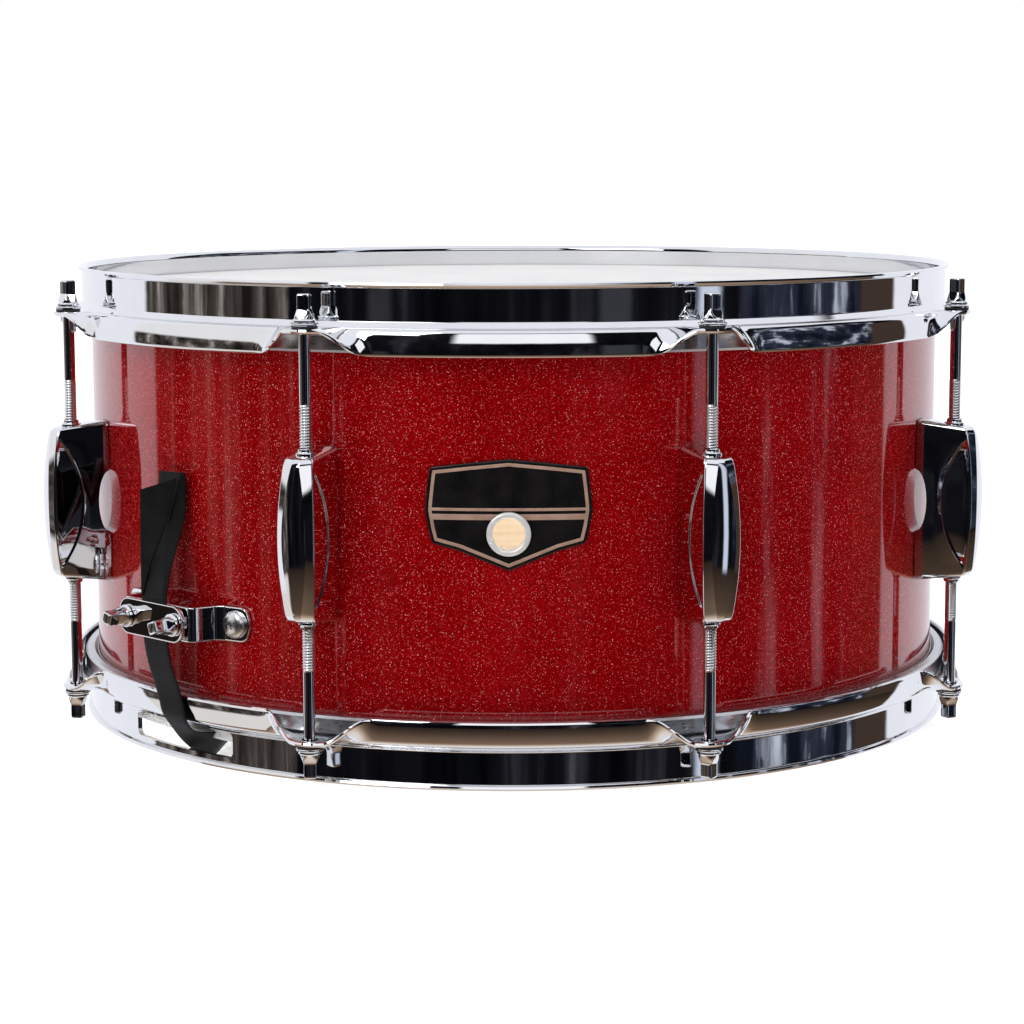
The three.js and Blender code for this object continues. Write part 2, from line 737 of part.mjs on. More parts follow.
// A back plate on the shell with two cheeks, bridged over the top for the knob's screw.
function makeStrainerBase(frame) {
  const back = box([LUG_BACK, BASE_FRONT], [-CHEEK_OUTER, CHEEK_OUTER], [BASE_BOTTOM, BASE_TOP]);
  const cheeks = [
    extrudedAcross(CHEEK_OUTLINE, [CHEEK_INNER, CHEEK_OUTER]),
    extrudedAcross(CHEEK_OUTLINE, [-CHEEK_OUTER, -CHEEK_INNER]),
  ];
  const bridge = box([BASE_FRONT - 1, 190.8], [-CHEEK_OUTER, CHEEK_OUTER], [4, BASE_TOP]);
  const pinHole = pivotRod(PIVOT_RADIUS + 0.4, CHEEK_OUTER + 5);
  const stemHole = moved(rod(KNOB_STEM + 0.6, [0, 20]), KNOB_X, 0, 0);
  let base = unionOf([back, ...cheeks, bridge]).subtract(pinHole).subtract(stemHole);
  STRAINER_SCREW_HEIGHTS.forEach((z) => {
    const hole = moved(outward(rod(MOUNT_HOLE_RADIUS, [LUG_BACK - 5, BASE_FRONT - 0.6])), 0, 0, z);
    base = base.subtract(hole);
  });
  addMesh("strainer_base", base, chrome(), frame);
}

// A round bar along local Y through the lever's pivot.
function pivotRod(radius, halfLength) {
  const bar = geometryOf(rod(radius, [-halfLength, halfLength], 12));
  bar.rotateX(Math.PI / 2);
  bar.translate(PIVOT_X, 0, PIVOT_Z);
  return solid(bar);
}

// The sliding block that the strap is clamped to, with the clamp's plate and screws.
function makeStrainerCarriage(frame) {
  const inner = CARRIAGE_HALF - CARRIAGE_WALL;
  const clampHole = (y, x) => moved(outward(rod(CLAMP_HOLE_RADIUS, x)), 0, y, STRAINER_CLAMP_Z);
  let carriage = box(
    [CARRIAGE_BACK, CARRIAGE_FRONT],
    [-CARRIAGE_HALF, CARRIAGE_HALF],
    [CARRIAGE_BOTTOM, CARRIAGE_TOP],
  );
  const pocket = box(
    [CARRIAGE_BACK - 1, CARRIAGE_FRONT - CARRIAGE_WALL],
    [-inner, inner],
    [CARRIAGE_POCKET_BOTTOM, CARRIAGE_TOP + 1],
  );
  carriage = carriage.subtract(pocket);
  const strapX = CARRIAGE_FRONT + GAP;
  const plateX = strapX + STRAP_THICKNESS + GAP;
  let plate = extrudedOut(roundedBar(13.8, 6.6, 3), [plateX, plateX + CLAMP_SHEET]);
  plate = moved(plate, 0, 0, STRAINER_CLAMP_Z);
  ["left", "right"].forEach((side, i) => {
    const y = i ? STRAINER_SCREW_Y : -STRAINER_SCREW_Y;
    carriage = carriage.subtract(clampHole(y, [CARRIAGE_FRONT - 8, CARRIAGE_FRONT + 5]));
    plate = plate.subtract(clampHole(y, [plateX - 5, plateX + 10]));
    const screw = moved(keyScrew(plateX + CLAMP_SHEET + GAP, 8), 0, y, STRAINER_CLAMP_Z);
    addMesh("strainer_clamp_screw_" + side, screw, chrome(), frame);
  });
  addMesh("strainer_carriage", carriage, chrome(), frame);
  addMesh("strainer_clamp_plate", plate, chrome(), frame);
  const strap = [[strapX, CLAMP_Z - 2], [strapX, CLAMP_Z - 19], ...STRAP_RUN];
  addMesh("strainer_strap", ribbon(strap), blackRibbon(), frame);
}

function makeStrainerLever(frame) {
  const hub = pivotRod(HUB_RADIUS, CARRIAGE_HALF - 0.2);
  const otherHalf = [...LEVER_HALF_FRONT].reverse().map(([y, z]) => [-y, z]);
  const front = extrudedOut([...LEVER_HALF_FRONT, ...otherHalf], [185, 205]);
  const arm = extrudedAcross(LEVER_SIDE, [-12, 12]).intersect(front);
  const pinHole = pivotRod(PIVOT_RADIUS + 0.4, CHEEK_OUTER + 5);
  addMesh("strainer_lever", hub.add(arm).subtract(pinHole), chrome(), frame);
  addMesh("strainer_lever_pin", pivotRod(PIVOT_RADIUS, CHEEK_OUTER), springSteel(), frame);
}

// The knob's threaded stem runs down through the base's bridge into the carriage.
function makeStrainerKnob(frame) {
  const knob = turned(
    [
      [0, CARRIAGE_TOP - 14],
      [KNOB_STEM, CARRIAGE_TOP - 14],
      [KNOB_STEM, BASE_TOP + GAP],
      [KNOB_RADIUS, BASE_TOP + GAP],
      [KNOB_RADIUS, BASE_TOP + 9],
      [KNOB_RADIUS - 1, BASE_TOP + 10],
      [0, BASE_TOP + 10],
    ],
    16,
  );
  addMesh("strainer_tension_knob", moved(knob, KNOB_X, 0, 0), chrome(), frame);
}

// The screws that hold the base are put in from inside the shell.
function makeStrainerScrews(frame) {
  const inside = SHELL_RADIUS - SHELL_THICKNESS - 0.6;
  const reach = BASE_FRONT - 1.4 - inside;
  ["lower", "upper"].forEach((which, i) => {
    const screw = geometryOf(roundScrew(0, -reach));
    screw.rotateZ(Math.PI);
    screw.translate(inside, 0, STRAINER_SCREW_HEIGHTS[i]);
    addMesh("strainer_mount_screw_" + which, solid(screw), chrome(), frame);
  });
}

// ---------- Snare wires ----------

function makeSnareWires() {
  const frame = localFrame(STRAINER_ANGLE);
  const level = [WIRE_TOP - WIRE_SIZE, WIRE_TOP];
  const halfSpan = ((WIRE_COUNT - 1) * WIRE_PITCH) / 2 + WIRE_SIZE / 2;
  const outline = shapeOf(rectangle([-WIRE_HALF_LENGTH, WIRE_HALF_LENGTH], [-halfSpan, halfSpan]));
  const slotEnd = WIRE_HALF_LENGTH - 4;
  for (let i = 0; i < WIRE_COUNT - 1; i++) {
    const low = -halfSpan + i * WIRE_PITCH + WIRE_SIZE;
    const gap = rectangle([-slotEnd, slotEnd], [low, low + WIRE_PITCH - WIRE_SIZE]);
    outline.holes.push(shapeOf(gap));
  }
  const strands = new THREE.ExtrudeGeometry(outline, { depth: WIRE_SIZE, bevelEnabled: false });
  strands.translate(0, 0, level[0]);
  addMesh("snare_wires", solid(strands), springSteel(), frame);

  [["strainer", STRAINER_ANGLE], ["butt", BUTT_ANGLE]].forEach(([end, angle]) => {
    const plate = box(
      [END_PLATE_START + GAP, END_PLATE_END],
      [-END_PLATE_HALF_WIDTH, END_PLATE_HALF_WIDTH],
      level,
    );
    const slot = box([145, 147], [-8.5, 8.5], [level[0] - 1, level[1] + 1]);
    addMesh("snare_end_plate_" + end, plate.subtract(slot), springSteel(), localFrame(angle));
  });
}

// ---------- Assembly ----------

makeShell();
makeHead("batter", 1, coatedFilm());
makeHead("snare_side", -1, clearFilm());
makeHoop("top_hoop", 1);
makeHoop("bottom_hoop", -1);
for (let lug = 0; lug < LUG_COUNT; lug++) {
  const angle = FIRST_LUG_ANGLE + lug * LUG_PITCH;
  makeLug("lug_" + (lug + 1), angle);
  makeTensionRod("top_tension_rod_" + (lug + 1), angle, 1);
  makeTensionRod("bottom_tension_rod_" + (lug + 1), angle, -1);
}
makeBadge();
makeButtEnd();
const strainerFrame = localFrame(STRAINER_ANGLE);
makeStrainerBase(strainerFrame);
makeStrainerCarriage(strainerFrame);
makeStrainerLever(strainerFrame);
makeStrainerKnob(strainerFrame);
makeStrainerScrews(strainerFrame);
makeSnareWires();

export default drum;
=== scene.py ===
"""The looks of a snare drum with a red sparkle shell and chrome hardware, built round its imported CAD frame.

Shapes are set out in millimetres. The drum's axis is Z, the floor is z = 0 and the badge faces -Y.
An angle round the drum is counted in degrees from the badge, positive towards +X. In the local frame at
such an angle, X points out of the drum, Y to the right as seen from outside, and z is counted from the
shell's mid-plane.
"""

from math import atan2, atan, copysign, cos, pi, radians, sin, sqrt, tan

import bmesh
import bpy
from mathutils import Euler, Matrix, Vector, noise


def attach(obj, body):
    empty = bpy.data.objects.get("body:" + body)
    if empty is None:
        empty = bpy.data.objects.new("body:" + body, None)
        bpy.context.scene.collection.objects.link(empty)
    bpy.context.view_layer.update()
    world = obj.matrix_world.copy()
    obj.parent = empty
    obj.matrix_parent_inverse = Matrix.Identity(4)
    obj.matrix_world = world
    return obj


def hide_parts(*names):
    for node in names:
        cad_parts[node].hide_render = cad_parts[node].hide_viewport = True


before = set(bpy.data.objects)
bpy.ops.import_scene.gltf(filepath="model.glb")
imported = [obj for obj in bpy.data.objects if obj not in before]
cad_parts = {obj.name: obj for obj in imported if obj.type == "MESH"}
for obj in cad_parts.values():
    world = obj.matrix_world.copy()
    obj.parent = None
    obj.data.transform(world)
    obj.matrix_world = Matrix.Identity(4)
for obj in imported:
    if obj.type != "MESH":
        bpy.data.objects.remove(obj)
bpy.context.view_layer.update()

MM = 0.001
MID = 92.5  # mid-plane of the shell above the floor

# ---------- Dimensions, as in the CAD ----------

SHELL_RADIUS = 175.9
SHELL_INNER = 169.9
SHELL_HALF = 82.55
WRAP_RADIUS = 176.8
WRAP_HALF = 79.5
HEAD_TOP = 83.35
HEAD_THICKNESS = 0.5
HEAD_RADIUS = 177.6
COLLAR_BOTTOM = 67.5
FLESH = (177.9, 182.4, 67.0, 73.9)  # inner and outer radius, bottom, top
FLESH_ROUND = 0.9

HOOP_HALF_SHEET = 1.0
HOOP_WALL = 179.5  # middle of the sheet
FLANGE_START = 182.8
FLANGE_CENTRE_Z = 73.8
FLANGE_BEND = 1.4
SKIRT_LENGTH = 8.0
EAR_LENGTH = 13.2
EAR_FLAT = 1.9
EAR_FADE = 7.0
EAR_ROUND = 4.6  # degrees from an ear's middle at which its rounded end has drawn in to the skirt
SKIRT_DROOP = 84  # degrees
SKIRT_CURVE = 15  # degrees that the skirt turns through along its length
ROD_CIRCLE = 190.6
ROD_HOLE = 3.1
EAR_TOP = 76.2

LUG_ANGLES = [22.5 + 45 * i for i in range(8)]
BUTT_ANGLE = -45
STRAINER_ANGLE = 135
CLAMP_Z = -37
STRAINER_CLAMP_Z = -47
BUTT_EAR_TURN = 9.8
BUTT_SCREW_Y = 14.3
STRAINER_SCREW_Y = 10.6
STRAINER_SCREW_SEAT = 195.5
STRAINER_PIVOT = (192, 0, -2)
STRAINER_SCREW_HEIGHTS = (-50, -14)
VENT_Z = 1.9
VENT_BORE = 7.5
BOLT_BORE = 2.7
THROUGH_SHELL = (155, 195)  # reach of a cutter that passes through wrap and shell
GATE_HALF = 29.8
GATE_LOW = -88.2
GATE_HIGH = -78.2
WIRE_TOP = -83.65
WIRE_LEVEL = WIRE_TOP - 0.6
STRANDS = 20
STRAND_SPACING = 2.3
STRAND_HALF = 139.0
END_PLATE_X = 144.4
END_PLATE_THICKNESS = 0.9
LUG_SCREW_HEIGHTS = (-20, 20)
KNOB_X = 184.8

# ---------- Mesh building ----------


def spun(degrees, axis="Z"):
    return Matrix.Rotation(radians(degrees), 4, axis)


def shift(x=0.0, y=0.0, z=0.0):
    return Matrix.Translation((x * MM, y * MM, z * MM))


def local_frame(angle, x=0.0, y=0.0, z=0.0):
    """The matrix of the local frame at an angle round the drum, moved by x, y, z within it."""
    return shift(z=MID) @ spun(angle - 90) @ shift(x, y, z)


DRUM_FRAME = shift(z=MID)
OUTWARD = spun(90, "Y")  # turns +Z to local +X
FLIPPED = spun(180, "X")


def circle(radius, z, segments):
    turns = [2 * pi * i / segments for i in range(segments)]
    return [(radius * cos(t), radius * sin(t), z) for t in turns]


def circles(profile, segments):
    """Sections round Z from (radius, z) pairs; a radius of 0 gives a pole."""
    return [circle(r, z, segments) if r else [(0, 0, z)] for r, z in profile]


class Form:
    """Points in millimetres with faces between them. uvs holds one pair per point where a weave needs it."""

    def __init__(self):
        self.points = []
        self.faces = []
        self.uvs = []

    def ring(self, points, uvs=None):
        start = len(self.points)
        self.points.extend(tuple(p) for p in points)
        if uvs:
            self.uvs.extend(uvs)
        return list(range(start, len(self.points)))

    def skin(self, rings, closed=True, looped=False):
        """Quads between each ring and the next; a ring of one point is a pole."""
        pairs = list(zip(rings, rings[1:]))
        if looped:
            pairs.append((rings[-1], rings[0]))
        for a, b in pairs:
            count = max(len(a), len(b))
            for i in range(count if closed else count - 1):
                j = (i + 1) % count
                if len(a) == 1:
                    self.faces.append((a[0], b[i], b[j]))
                elif len(b) == 1:
                    self.faces.append((a[i], a[j], b[0]))
                else:
                    self.faces.append((a[i], a[j], b[j], b[i]))

    def cap(self, ring):
        self.faces.append(tuple(ring))

    def tube(self, rings):
        """A closed skin through the rings with a cap at each end."""
        self.skin(rings)
        self.cap(rings[0])
        self.cap(rings[-1])

    def add(self, other, matrix=None):
        """Takes in another form, moved by a matrix whose translation is in metres."""
        start = len(self.points)
        for p in other.points:
            self.points.append(tuple((matrix @ (Vector(p) * MM)) / MM) if matrix else p)
        self.faces.extend(tuple(i + start for i in f) for f in other.faces)
        self.uvs.extend(other.uvs)
        return self

    def mesh(self, name):
        made = bpy.data.meshes.new(name)
        made.from_pydata([Vector(p) * MM for p in self.points], [], self.faces)
        bm = bmesh.new()
        bm.from_mesh(made)
        bmesh.ops.recalc_face_normals(bm, faces=bm.faces)
        if self.uvs:
            layer = bm.loops.layers.uv.new("UVMap")
            for face in bm.faces:
                for loop in face.loops:
                    loop[layer].uv = self.uvs[loop.vert.index]
        bm.to_mesh(made)
        bm.free()
        return made


def skinned(sections, looped=True):
    """A skin through sections, each a list of points, looped back to the first or open at both ends."""
    form = Form()
    form.skin([form.ring(points) for points in sections], looped=looped)
    return form


def capped(sections):
    """A tube through sections with a cap at each end."""
    form = Form()
    form.tube([form.ring(points) for points in sections])
    return form


def new_object(name, data):
    made = bpy.data.objects.new(name, data)
    bpy.context.scene.collection.objects.link(made)
    return made


def place(name, shape, material, body, nodes=(), matrix=None, sharp=35):
    """A finished piece from a form or a mesh: placed, shaded, given its material and hung on its body."""
    mesh = shape.mesh(name) if isinstance(shape, Form) else shape.copy()
    mesh.name = name
    mesh.materials.append(material)
    mesh.shade_smooth()
    mesh.set_sharp_from_angle(angle=radians(sharp))
    made = new_object(name, mesh)
    made.matrix_world = matrix if matrix is not None else DRUM_FRAME
    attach(made, body)
    if nodes:
        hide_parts(*nodes)
    return made


def carved(form, name, cutters):
    """The form's mesh with the cutters' forms, which don't touch each other, taken out of it."""
    body = new_object(name, form.mesh(name))
    joined = Form()
    for cutter in cutters:
        joined.add(cutter)
    tool = new_object(name + "_tool", joined.mesh(name + "_tool"))
    cut = body.modifiers.new("cut", "BOOLEAN")
    cut.operation = "DIFFERENCE"
    cut.solver = "MANIFOLD"
    cut.object = tool
    bpy.context.view_layer.update()
    graph = bpy.context.evaluated_depsgraph_get()
    mesh = bpy.data.meshes.new_from_object(body.evaluated_get(graph))
    bpy.data.objects.remove(body)
    bpy.data.objects.remove(tool)
    mesh.materials.clear()
    return mesh


def lathe(profile, segments=32):
    """A profile of (radius, z) turned about Z. A radius of 0 at both ends closes it; otherwise it is a loop."""
    return skinned(circles(profile, segments), looped=bool(profile[0][0] or profile[-1][0]))


def round_bar(radius, low, high, segments=32):
    return lathe([(0, low), (radius, low), (radius, high), (0, high)], segments)


def squircle(half, power, z, segments):
    """A ring between a circle (power 2) and a square (large power) of the given half width."""
    points = []
    for i in range(segments):
        t = 2 * pi * (i + 0.5) / segments
        c, s = cos(t), sin(t)
        x = copysign(abs(c) ** (2 / power), c) * half
        y = copysign(abs(s) ** (2 / power), s) * half
        points.append((x, y, z))
    return points


def filleted(points, radii, steps=6):
    """A 2D path whose inner corners are rounded to the given radii."""
    points = [Vector(p) for p in points]
    out = [points[0]]
    for before, corner, after, radius in zip(points, points[1:], points[2:], radii):
        back, on = (before - corner).normalized(), (after - corner).normalized()
        half = back.angle(on) / 2
        centre = corner + (back + on).normalized() * radius / sin(half)
        start = corner + back * radius / tan(half) - centre
        end = corner + on * radius / tan(half) - centre
        total = atan2(start.x * end.y - start.y * end.x, start.dot(end))
        for k in range(steps + 1):
            c, s = cos(total * k / steps), sin(total * k / steps)
            out.append(centre + Vector((start.x * c - start.y * s, start.x * s + start.y * c)))
    out.append(points[-1])
    return out


def braced(path, margin):
    """The same path with extra points near both ends of each long straight, so that shading stays flat between."""
    out = [path[0]]
    for a, b in zip(path, path[1:]):
        length = (b - a).length
        if length > 3 * margin:
            out += [a + (b - a) * margin / length, b - (b - a) * margin / length]
        out.append(b)
    return out


def sheet_section(path, half):
    """A closed 2D outline of constant thickness round a path, with rounded ends."""
    steps = [(b - a).normalized() for a, b in zip(path, path[1:])]
    left, right = [], []
    for i, p in enumerate(path):
        along = (steps[max(i - 1, 0)] + steps[min(i, len(steps) - 1)]).normalized()
        across = Vector((-along.y, along.x))
        left.append(p + across * half)
        right.append(p - across * half)

    def tip(centre, sides, out):
        corners = [centre + (side - centre) * 0.7 + out * 0.7 for side in sides]
        return [corners[0], centre + out, corners[1]]

    end = tip(path[-1], (left[-1], right[-1]), steps[-1] * half)
    start = tip(path[0], (right[0], left[0]), -steps[0] * half)
    return left + end + right[::-1] + start


def rounded_outline(half_length, half_height, corner, steps=6):
    """A rectangle with rounded corners, centred on the origin."""
    points = []
    for quarter, (sx, sy) in enumerate(((1, 1), (-1, 1), (-1, -1), (1, -1))):
        for k in range(steps + 1):
            t = radians(90 * (quarter + k / steps))
            points.append((sx * (half_length - corner) + corner * cos(t),
                           sy * (half_height - corner) + corner * sin(t)))
    return points


def plate(outline, low, high, bevel=0.25, rounds=2):
    """An outline in (x, y) raised from z = low to high, its edges rounded inwards by bevel."""
    centre = Vector((sum(p[0] for p in outline), sum(p[1] for p in outline))) / len(outline)
    count = len(outline)

    def inset(amount):
        made = []
        for i, p in enumerate(outline):
            before, after = Vector(outline[i - 1]), Vector(outline[(i + 1) % count])
            along = (after - before).normalized()
            across = Vector((along.y, -along.x))
            if across.dot(Vector(p) - centre) < 0:
                across = -across
            made.append(Vector(p) - across * amount)
        return made

    levels = []
    for k in range(rounds + 1):
        t = pi / 2 * k / rounds
        levels.append((bevel * (1 - sin(t)), low + bevel * (1 - cos(t))))
    levels.insert(0, (bevel + 0.3, low))  # keeps the flat faces flat in their shading
    levels += [(amount, high + low - z) for amount, z in reversed(levels)]
    return capped([[(p.x, p.y, z) for p in inset(amount)] for amount, z in levels])


# ---------- Materials ----------


def node(tree, kind, inputs=None, **settings):
    made = tree.nodes.new("ShaderNode" + kind)
    for name, value in settings.items():
        setattr(made, name, value)
    for name, value in (inputs or {}).items():
        if isinstance(value, bpy.types.NodeSocket):
            tree.links.new(value, made.inputs[name])
        else:
            made.inputs[name].default_value = value
    return made


def calc(tree, operation, a, b=0.0, c=0.0):
    inputs = {0: a, 1: b, 2: c}
    return node(tree, "Math", inputs, operation=operation).outputs[0]


def ramp(tree, fac, stops):
    """A colour ramp; stops are (position, grey or colour)."""
    made = node(tree, "ValToRGB", {"Fac": fac})
    scale = made.color_ramp
    while len(scale.elements) < len(stops):
        scale.elements.new(0.5)
    for element, (position, colour) in zip(scale.elements, stops):
        element.position = position
        element.color = (*colour, 1) if isinstance(colour, tuple) else (colour, colour, colour, 1)
    return made.outputs["Color"]


def blend(tree, fac, a, b, mode="MIX"):
    a, b = (value if isinstance(value, bpy.types.NodeSocket) else (*value, 1) for value in (a, b))
    return node(tree, "Mix", {0: fac, 6: a, 7: b}, data_type="RGBA", blend_type=mode).outputs[2]


def noise_at(tree, where, scale, detail=3.0, roughness=0.5):
    inputs = {"Vector": where, "Scale": scale, "Detail": detail, "Roughness": roughness}
    return node(tree, "TexNoise", inputs).outputs["Fac"]


def bump_of(tree, height, distance, strength=1.0, normal=None):
    inputs = {"Height": height, "Distance": distance, "Strength": strength}
    if normal is not None:
        inputs["Normal"] = normal
    return node(tree, "Bump", inputs).outputs["Normal"]


def stretched(tree, where, scale):
    return node(tree, "Mapping", {"Vector": where, "Scale": scale}).outputs["Vector"]


def new_material(name, **constants):
    """A material with one Principled shader. Returns the material, its tree, the shader, object coordinates."""
    made = bpy.data.materials.new(name)
    made.use_nodes = True
    tree = made.node_tree
    tree.nodes.clear()
    shader = node(tree, "BsdfPrincipled", {k.replace("_", " "): v for k, v in constants.items()})
    out = node(tree, "OutputMaterial")
    tree.links.new(shader.outputs[0], out.inputs["Surface"])
    where = node(tree, "TexCoord").outputs["Object"]
    return made, tree, shader, where


def wire_up(tree, shader, **links):
    for name, source in links.items():
        tree.links.new(source, shader.inputs[name.replace("_", " ")])


def chrome_material(name="chrome", tint=(0.79, 0.80, 0.825), dull=0.0):
    """Chrome plate: mirror bright, with faint wiping marks and a little waviness under the plate."""
    made, tree, shader, where = new_material(name, Metallic=1.0)
    cloud = noise_at(tree, where, 55, 4)
    fine = noise_at(tree, stretched(tree, where, (900, 900, 2600)), 1.0, 2)
    shade = ramp(tree, cloud, [(0.3, tuple(c * 0.95 for c in tint)), (0.7, tint)])
    rough = ramp(tree, blend(tree, 0.35, cloud, fine), [(0.3, 0.015 + dull), (0.75, 0.055 + dull)])
    wavy = bump_of(tree, noise_at(tree, where, 160, 1), 0.000012)
    wire_up(tree, shader, Base_Color=shade, Roughness=rough, Normal=bump_of(tree, fine, 0.0000015, 0.6, wavy))
    return made


def sparkle_material():
    """Red sparkle wrap: metal flakes of mixed tints at odd tilts in red film, under a clear gloss."""
    made, tree, shader, where = new_material(
        "red_sparkle_wrap", IOR=1.45, Coat_Weight=1.0, Coat_Roughness=0.01, Coat_IOR=1.62, Specular_IOR_Level=0.0
    )
    flakes = node(tree, "TexVoronoi", {"Vector": where, "Scale": 2200.0}, feature="F1")
    grains = node(tree, "TexVoronoi", {"Vector": where, "Scale": 3300.0}, feature="F1")
    pick = node(tree, "SeparateColor", {"Color": flakes.outputs["Color"]})
    small = node(tree, "SeparateColor", {"Color": grains.outputs["Color"]})
    cloud = noise_at(tree, where, 30, 3)
    film = ramp(tree, cloud, [(0.25, (0.17, 0.0003, 0.0007)), (0.75, (0.225, 0.0009, 0.0019))])
    dust = ramp(tree, small.outputs["Green"], [
        (0.0, (0.6, 0.3, 0.3)), (0.6, (1.0, 1.0, 1.0)), (1.0, (1.7, 2.6, 2.6)),
    ])
    base = blend(tree, 1.0, film, dust, "MULTIPLY")
    glint = ramp(tree, pick.outputs["Green"], [
        (0.0, (0.30, 0.010, 0.014)), (0.5, (0.42, 0.034, 0.038)),
        (0.88, (0.56, 0.10, 0.10)), (1.0, (0.78, 0.32, 0.30)),
    ])
    lit = calc(tree, "GREATER_THAN", pick.outputs["Red"], 0.70)
    core = calc(tree, "LESS_THAN", flakes.outputs["Distance"], 0.46)
    share = calc(tree, "MULTIPLY", lit, core)
    colour = blend(tree, share, base, glint)
    metal = calc(tree, "MULTIPLY_ADD", share, 0.14, 0.28)
    lean = calc(tree, "MULTIPLY", share, 0.9)
    around = node(tree, "NewGeometry").outputs["Normal"]
    spread = node(tree, "VectorMath", {0: flakes.outputs["Color"], 1: (-0.5, -0.5, -0.5)}, operation="ADD")
    tilt = node(tree, "VectorMath", {0: spread.outputs[0], "Scale": lean}, operation="SCALE").outputs[0]
    leaning = node(tree, "VectorMath", {0: around, 1: tilt}, operation="ADD")
    normal = node(tree, "VectorMath", {0: leaning.outputs[0]}, operation="NORMALIZE").outputs[0]
    rough = calc(tree, "MULTIPLY_ADD", share, 0.26, 0.16)
    wire_up(tree, shader, Base_Color=colour, Metallic=metal, Roughness=rough, Normal=normal)
    return made


def wood_material():
    """Pale maple ply under satin lacquer: grain round the shell, plies showing on the cut edges."""
    made, tree, shader, where = new_material("maple_shell", Coat_Weight=0.35, Coat_Roughness=0.25)
    part = node(tree, "SeparateXYZ", {"Vector": where})
    radius = node(tree, "VectorMath", {0: node(tree, "CombineXYZ", {
        "X": part.outputs["X"], "Y": part.outputs["Y"]}).outputs[0]}, operation="LENGTH").outputs["Value"]
    turn = calc(tree, "ARCTAN2", part.outputs["X"], part.outputs["Y"])
    unrolled = node(tree, "CombineXYZ", {"X": calc(tree, "MULTIPLY", turn, 0.17), "Y": part.outputs["Z"]})
    grain = noise_at(tree, stretched(tree, unrolled.outputs[0], (22, 420, 1)), 1.0, 5, 0.6)
    figure = noise_at(tree, stretched(tree, unrolled.outputs[0], (9, 40, 1)), 1.0, 3)
    colour = ramp(tree, blend(tree, 0.45, grain, figure), [
        (0.3, (0.60, 0.46, 0.31)), (0.5, (0.76, 0.63, 0.47)), (0.72, (0.86, 0.75, 0.60))])
    ply = calc(tree, "FRACT", calc(tree, "MULTIPLY", radius, 1000.0))
    lines = ramp(tree, ply, [(0.0, 0.62), (0.12, 1.0), (0.88, 1.0), (1.0, 0.62)])
    wire_up(tree, shader, Base_Color=blend(tree, 0.6, colour, lines, "MULTIPLY"),
            Roughness=ramp(tree, grain, [(0.3, 0.36), (0.7, 0.52)]), Normal=bump_of(tree, grain, 0.00006, 0.5))
    return made


def coated_head_material():
    """White film with a sprayed coating: fine grit, faint clouding, light coming through."""
    made, tree, shader, where = new_material("coated_head", Specular_IOR_Level=0.2)
    grit = noise_at(tree, where, 1500, 2)
    cloud = noise_at(tree, where, 22, 4)
    colour = ramp(tree, cloud, [(0.3, (0.79, 0.80, 0.82)), (0.7, (0.84, 0.845, 0.86))])
    grain = bump_of(tree, grit, 0.00006, 0.7)
    wire_up(tree, shader, Base_Color=colour, Roughness=ramp(tree, grit, [(0.3, 0.42), (0.7, 0.62)]), Normal=grain)
    through = node(tree, "BsdfTranslucent", {"Color": colour, "Normal": grain})
    mixed = node(tree, "MixShader", {0: 0.32, 1: shader.outputs[0], 2: through.outputs[0]})
    tree.links.new(mixed.outputs[0], tree.nodes["Material Output"].inputs["Surface"])
    return made


def mottled_material(name, cloud, fine, colours, rough, relief, **constants):
    """A plain finish: colour from soft clouds, roughness and relief from a fine pattern. Each pattern is
    (scale, detail); three scales stretch it along its lay."""
    made, tree, shader, where = new_material(name, **constants)
    patterns = []
    for scale, detail in (cloud, fine):
        if isinstance(scale, tuple):
            patterns.append(noise_at(tree, stretched(tree, where, scale), 1.0, detail, 0.65))
        else:
            patterns.append(noise_at(tree, where, scale, detail))
    clouds, grain = patterns
    wire_up(tree, shader, Base_Color=ramp(tree, clouds, list(zip((0.3, 0.7), colours))),
            Roughness=ramp(tree, grain, list(zip((0.3, 0.7), rough))), Normal=bump_of(tree, grain, *relief))
    return made


def satin_metal_material(name, tint, rough, lay):
    """Drawn or rolled metal: fine lines along its lay, soft blotches in the sheen."""
    made, tree, shader, where = new_material(name, Metallic=1.0)
    lines = noise_at(tree, stretched(tree, where, lay), 1.0, 3, 0.65)
    cloud = noise_at(tree, where, 90, 3)
    shade = ramp(tree, blend(tree, 0.5, lines, cloud), [(0.3, tuple(c * 0.82 for c in tint)), (0.7, tint)])
    wire_up(tree, shader, Base_Color=shade, Roughness=ramp(tree, lines, [(0.3, rough * 0.8), (0.7, rough * 1.25)]),
            Normal=bump_of(tree, lines, 0.00001, 0.5))
    return made


